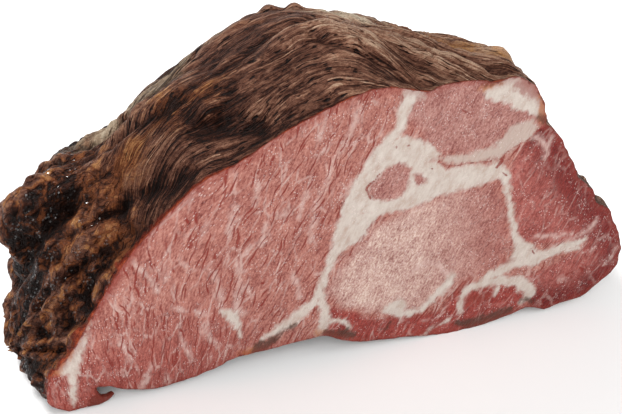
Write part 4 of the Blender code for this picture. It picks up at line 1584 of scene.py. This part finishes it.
@dataclass
class Collar:
    """The whole piece: the skin wrapped round the loaf, the cut that closes it and the shred on it."""

    loaf: Loaf = field(default_factory=Loaf)
    cut: CutFace = field(default_factory=CutFace)
    shred: Shred = field(default_factory=Shred)
    amber_spots: Spots = (
        ((-62, 21, 58), 9, 0.8), ((-53, 22, 63), 8, 0.9), ((-40, 30, 75), 9, 0.8), ((-31, 26, 80), 8, 0.4),
        ((-61, 8, 50), 8, 0.8), ((-68, 20, 52), 7, 0.5), ((-82, 16, 29), 8, 0.4), ((35, 33, 80), 7, 0.6),
        ((44, 30, 79), 8, 0.6), ((51, 18, 80), 7, 0.6), ((30, 46, 79), 8, 0.5),
    )
    wet_from_to: tuple[float, float] = (-22.0, -60.0)
    rim_glow: tuple[float, float, float, float] = (-28.0, -58.0, 0.6, 1.4)  # where it widens, width, gain
    lightness_level: tuple[float, float] = (0.32, 0.6)  # how light the skin is at the left end and at the right
    # Spots where the skin's colour is lighter or darker. The two small dark ones at (38, 19, 81) and (42, 11,
    # 82) lie on the crease there: painted shade.
    lightness_spots: Spots = (
        ((-28, 15, 78), 9, 0.12), ((-40, 12, 70), 13, -0.12), ((-8, 52, 82), 7, -0.2),
        ((-9, 15, 86), 12, -0.33), ((52, 18, 80), 9, 0.16), ((38, 19, 81), 4, -0.08),
        ((42, 11, 82), 5, -0.04), ((13, 24, 88), 12, 0.38), ((44, 22, 81), 14, 0.2), ((44, 30, 79), 8, 0.05),
        ((-48, 55, 60), 16, 0.2), ((16, 50, 82), 14, 0.28),
    )
    # Where the far horizon of the crown is pale: ashen crust and painted sheen of the back light.
    ash_and_sheen_spots: Spots = (
        ((-56, 53, 53), 14, 0.9), ((-40, 60, 62), 15, 1), ((-24, 66, 68), 13, 0.7), ((16, 54, 81), 11, 1),
        ((30, 54, 76), 11, 0.6),
    )

    def build(self) -> bpy.types.Object:
        """Build the mesh, join the shred, place it and dress it.

        Returns:
            The finished piece.
        """
        bm = bmesh.new()
        self.loaf.wrap_skin(bm)
        self.cut.fill(bm, self.loaf.cut_outline)
        bmesh.ops.triangulate(bm, faces=bm.faces)
        bmesh.ops.recalc_face_normals(bm, faces=bm.faces)
        body = self.to_object(bm, "collar_meat")
        scrap = bmesh.new()
        self.shred.build(scrap)
        shred = self.to_object(scrap, "torn_shred")
        for finish in (BarkFinish(), CutFinish()):
            body.data.materials.append(finish.material())
            shred.data.materials.append(None)  # its faces take the body's materials by slot
        joint = body.modifiers.new("torn_shred", "BOOLEAN")
        joint.operation = "UNION"
        joint.object = shred
        graph = bpy.context.evaluated_depsgraph_get()
        joined = bpy.data.meshes.new_from_object(body.evaluated_get(graph), depsgraph=graph)
        body.modifiers.clear()
        body.data = joined
        bpy.data.objects.remove(shred)
        self.dress(body)
        return body

    def to_object(self, bm: bmesh.types.BMesh, name: str) -> bpy.types.Object:
        """Turn a bmesh in millimetres into an object.

        Args:
            bm: The bmesh, which is freed.
            name: The object's name.

        Returns:
            The object.
        """
        mesh = bpy.data.meshes.new(name)
        bm.to_mesh(mesh)
        bm.free()
        made = bpy.data.objects.new(name, mesh)
        bpy.context.collection.objects.link(made)
        return made

    def dress(self, piece: bpy.types.Object) -> None:
        """Write the values that the finishes read, and move the mesh into the part's frame.

        Args:
            piece: The joined piece, still in the cut's frame.
        """
        mesh = piece.data
        places = np.empty(len(mesh.vertices) * 3, np.float32)
        mesh.vertices.foreach_get("co", places)
        places = places.reshape(-1, 3).astype(float)
        values = self.cut.dress(places, self.loaf.cut_outline)
        values["cut_grain"] = self.cut_grain(places)
        values["smoke"] = self.smoke(places)
        values["lightness"] = self.lightness(places)
        wide_from, wide_to, width, gain = self.rim_glow
        width = width + gain * ease(places[:, 0], wide_from, wide_to)
        values["depth"] = np.maximum(places[:, 1], 0.0) / width
        slots = np.empty(len(mesh.polygons), np.int32)
        mesh.polygons.foreach_get("material_index", slots)
        sides = np.empty(len(mesh.polygons), np.int32)
        mesh.polygons.foreach_get("loop_total", sides)
        for name, numbers in values.items():
            kind, field_name = ("FLOAT_VECTOR", "vector") if numbers.ndim == 2 else ("FLOAT", "value")
            layer = mesh.attributes.new(name, kind, "POINT")
            layer.data.foreach_set(field_name, numbers.astype(np.float32).ravel())
        moved = (places + np.array(TO_PART)) * MM
        mesh.vertices.foreach_set("co", moved.astype(np.float32).ravel())
        mesh.shade_smooth()
        mesh.set_sharp_from_angle(angle=math.radians(62))
        self.sharpen_rim(mesh, np.repeat(slots, sides))
        mesh.update()

    def sharpen_rim(self, mesh: bpy.types.Mesh, slots: np.ndarray) -> None:
        """Make every edge between the skin and the cut a sharp one.

        Args:
            mesh: The piece's mesh.
            slots: The material slot of each corner's face.
        """
        edges = np.empty(len(mesh.loops), np.int32)
        mesh.loops.foreach_get("edge_index", edges)
        skin, cut = (np.bincount(edges[slots == slot], minlength=len(mesh.edges)) > 0 for slot in (0, 1))
        sharp = np.empty(len(mesh.edges), bool)
        marks = mesh.attributes["sharp_edge"].data
        marks.foreach_get("value", sharp)
        marks.foreach_set("value", sharp | (skin & cut))

    def cut_grain(self, places: np.ndarray) -> np.ndarray:
        """Grain coordinates on the cut, whose first number runs along the fibres.

        Args:
            places: Rows of x, y and z.

        Returns:
            Rows of grain coordinates.
        """
        x, z = places[:, 0], places[:, 2] - self.cut.lean_height
        low, high = self.cut.leans
        lean = low + (high - low) * ease(x, *self.cut.lean_from_to)
        along, across = np.cos(lean), np.sin(lean)
        return np.stack([x * across + z * along, x * along - z * across, np.full(len(x), 5.0)], axis=1)

    def lightness(self, places: np.ndarray) -> np.ndarray:
        """How light the skin is.

        Args:
            places: Rows of x, y and z.

        Returns:
            One number a point.
        """
        dark, light = self.lightness_level
        level = dark + (light - dark) * ease(places[:, 0] + 0.25 * places[:, 2], -10.0, 60.0)
        return level + sum(spot_strengths(places, self.lightness_spots))

    def smoke(self, places: np.ndarray) -> np.ndarray:
        """How amber and wet the skin is, and how pale it is with ash and painted sheen.

        Args:
            places: Rows of x, y and z.

        Returns:
            Rows of three shares.
        """
        amber = np.maximum.reduce(spot_strengths(places, self.amber_spots))
        ash_and_sheen = np.maximum.reduce(spot_strengths(places, self.ash_and_sheen_spots))
        wet = ease(places[:, 0] + 0.35 * places[:, 2], *self.wet_from_to)
        return np.stack([amber, ash_and_sheen, wet], axis=1)


@dataclass
class Lamp:
    """A soft square light."""

    name: str
    place: tuple[float, float, float]
    side: float
    watts: float

    def build(self, aim: Vector) -> None:
        """Hang the light and turn it to what it lights.

        Args:
            aim: The point it faces.
        """
        light = bpy.data.lights.new(self.name, "AREA")
        light.shape = "SQUARE"
        light.size = self.side
        light.energy = self.watts
        made = bpy.data.objects.new(self.name, light)
        made.location = self.place
        made.rotation_euler = (aim - made.location).to_track_quat("-Z", "Y").to_euler()
        bpy.context.collection.objects.link(made)


@dataclass
class Studio:
    """The pale floor, the soft light and the camera."""

    floor_side: float = 4.0
    sky: float = 0.42
    aim: Vector = field(default_factory=lambda: Vector((0.0, -0.01, 0.04)))
    lamps: tuple[Lamp, ...] = (
        Lamp("back_light", (-0.45, 0.65, 0.95), 0.4, 16.0),
        Lamp("front_light", (-0.35, -1.1, 0.85), 0.8, 12.0),
        Lamp("side_light", (0.9, -0.7, 0.8), 0.8, 7.0),
    )
    camera_place: Vector = field(default_factory=lambda: Vector((-120.0, -349.7, 331.7)))
    camera_aim: Vector = field(default_factory=lambda: Vector((-9.7, 0.0, 55.4)))
    lens: float = 100.0

    def build(self) -> None:
        """Lay the floor, hang the lights and set up the camera."""
        bm = bmesh.new()
        bmesh.ops.create_grid(bm, x_segments=1, y_segments=1, size=self.floor_side / 2)
        mesh = bpy.data.meshes.new("floor")
        bm.to_mesh(mesh)
        bm.free()
        floor = bpy.data.objects.new("floor", mesh)
        mesh.materials.append(FloorFinish().material())
        bpy.context.collection.objects.link(floor)
        for lamp in self.lamps:
            lamp.build(self.aim)
        world = bpy.context.scene.world or bpy.data.worlds.new("studio")
        bpy.context.scene.world = world
        world.use_nodes = True
        sky = world.node_tree.nodes["Background"]
        sky.inputs["Color"].default_value = (1.0, 1.0, 1.0, 1.0)
        sky.inputs["Strength"].default_value = self.sky
        bpy.context.scene.view_settings.view_transform = "Standard"
        self.set_camera()

    def set_camera(self) -> None:
        """Put the camera where the cut and the crown both show."""
        lens = bpy.data.cameras.new("camera")
        lens.lens = self.lens
        camera = bpy.data.objects.new("camera", lens)
        camera.location = (self.camera_place + TO_PART) * MM
        camera.rotation_euler = (self.camera_aim - self.camera_place).to_track_quat("-Z", "Y").to_euler()
        bpy.context.collection.objects.link(camera)
        bpy.context.scene.camera = camera


def main() -> None:
    """Build the collar and the studio, and report each."""
    logging.basicConfig(level=logging.INFO, format="%(name)s: %(message)s")
    noise.seed_set(GRAIN_SEED)
    piece = Collar().build()
    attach(piece, "root")
    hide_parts(NODE)
    piece.data.calc_loop_triangles()
    LOG.info("%s: %d triangles", piece.name, len(piece.data.loop_triangles))
    Studio().build()
    LOG.info("floor, lights and camera")


if __name__ == "__main__":
    main()
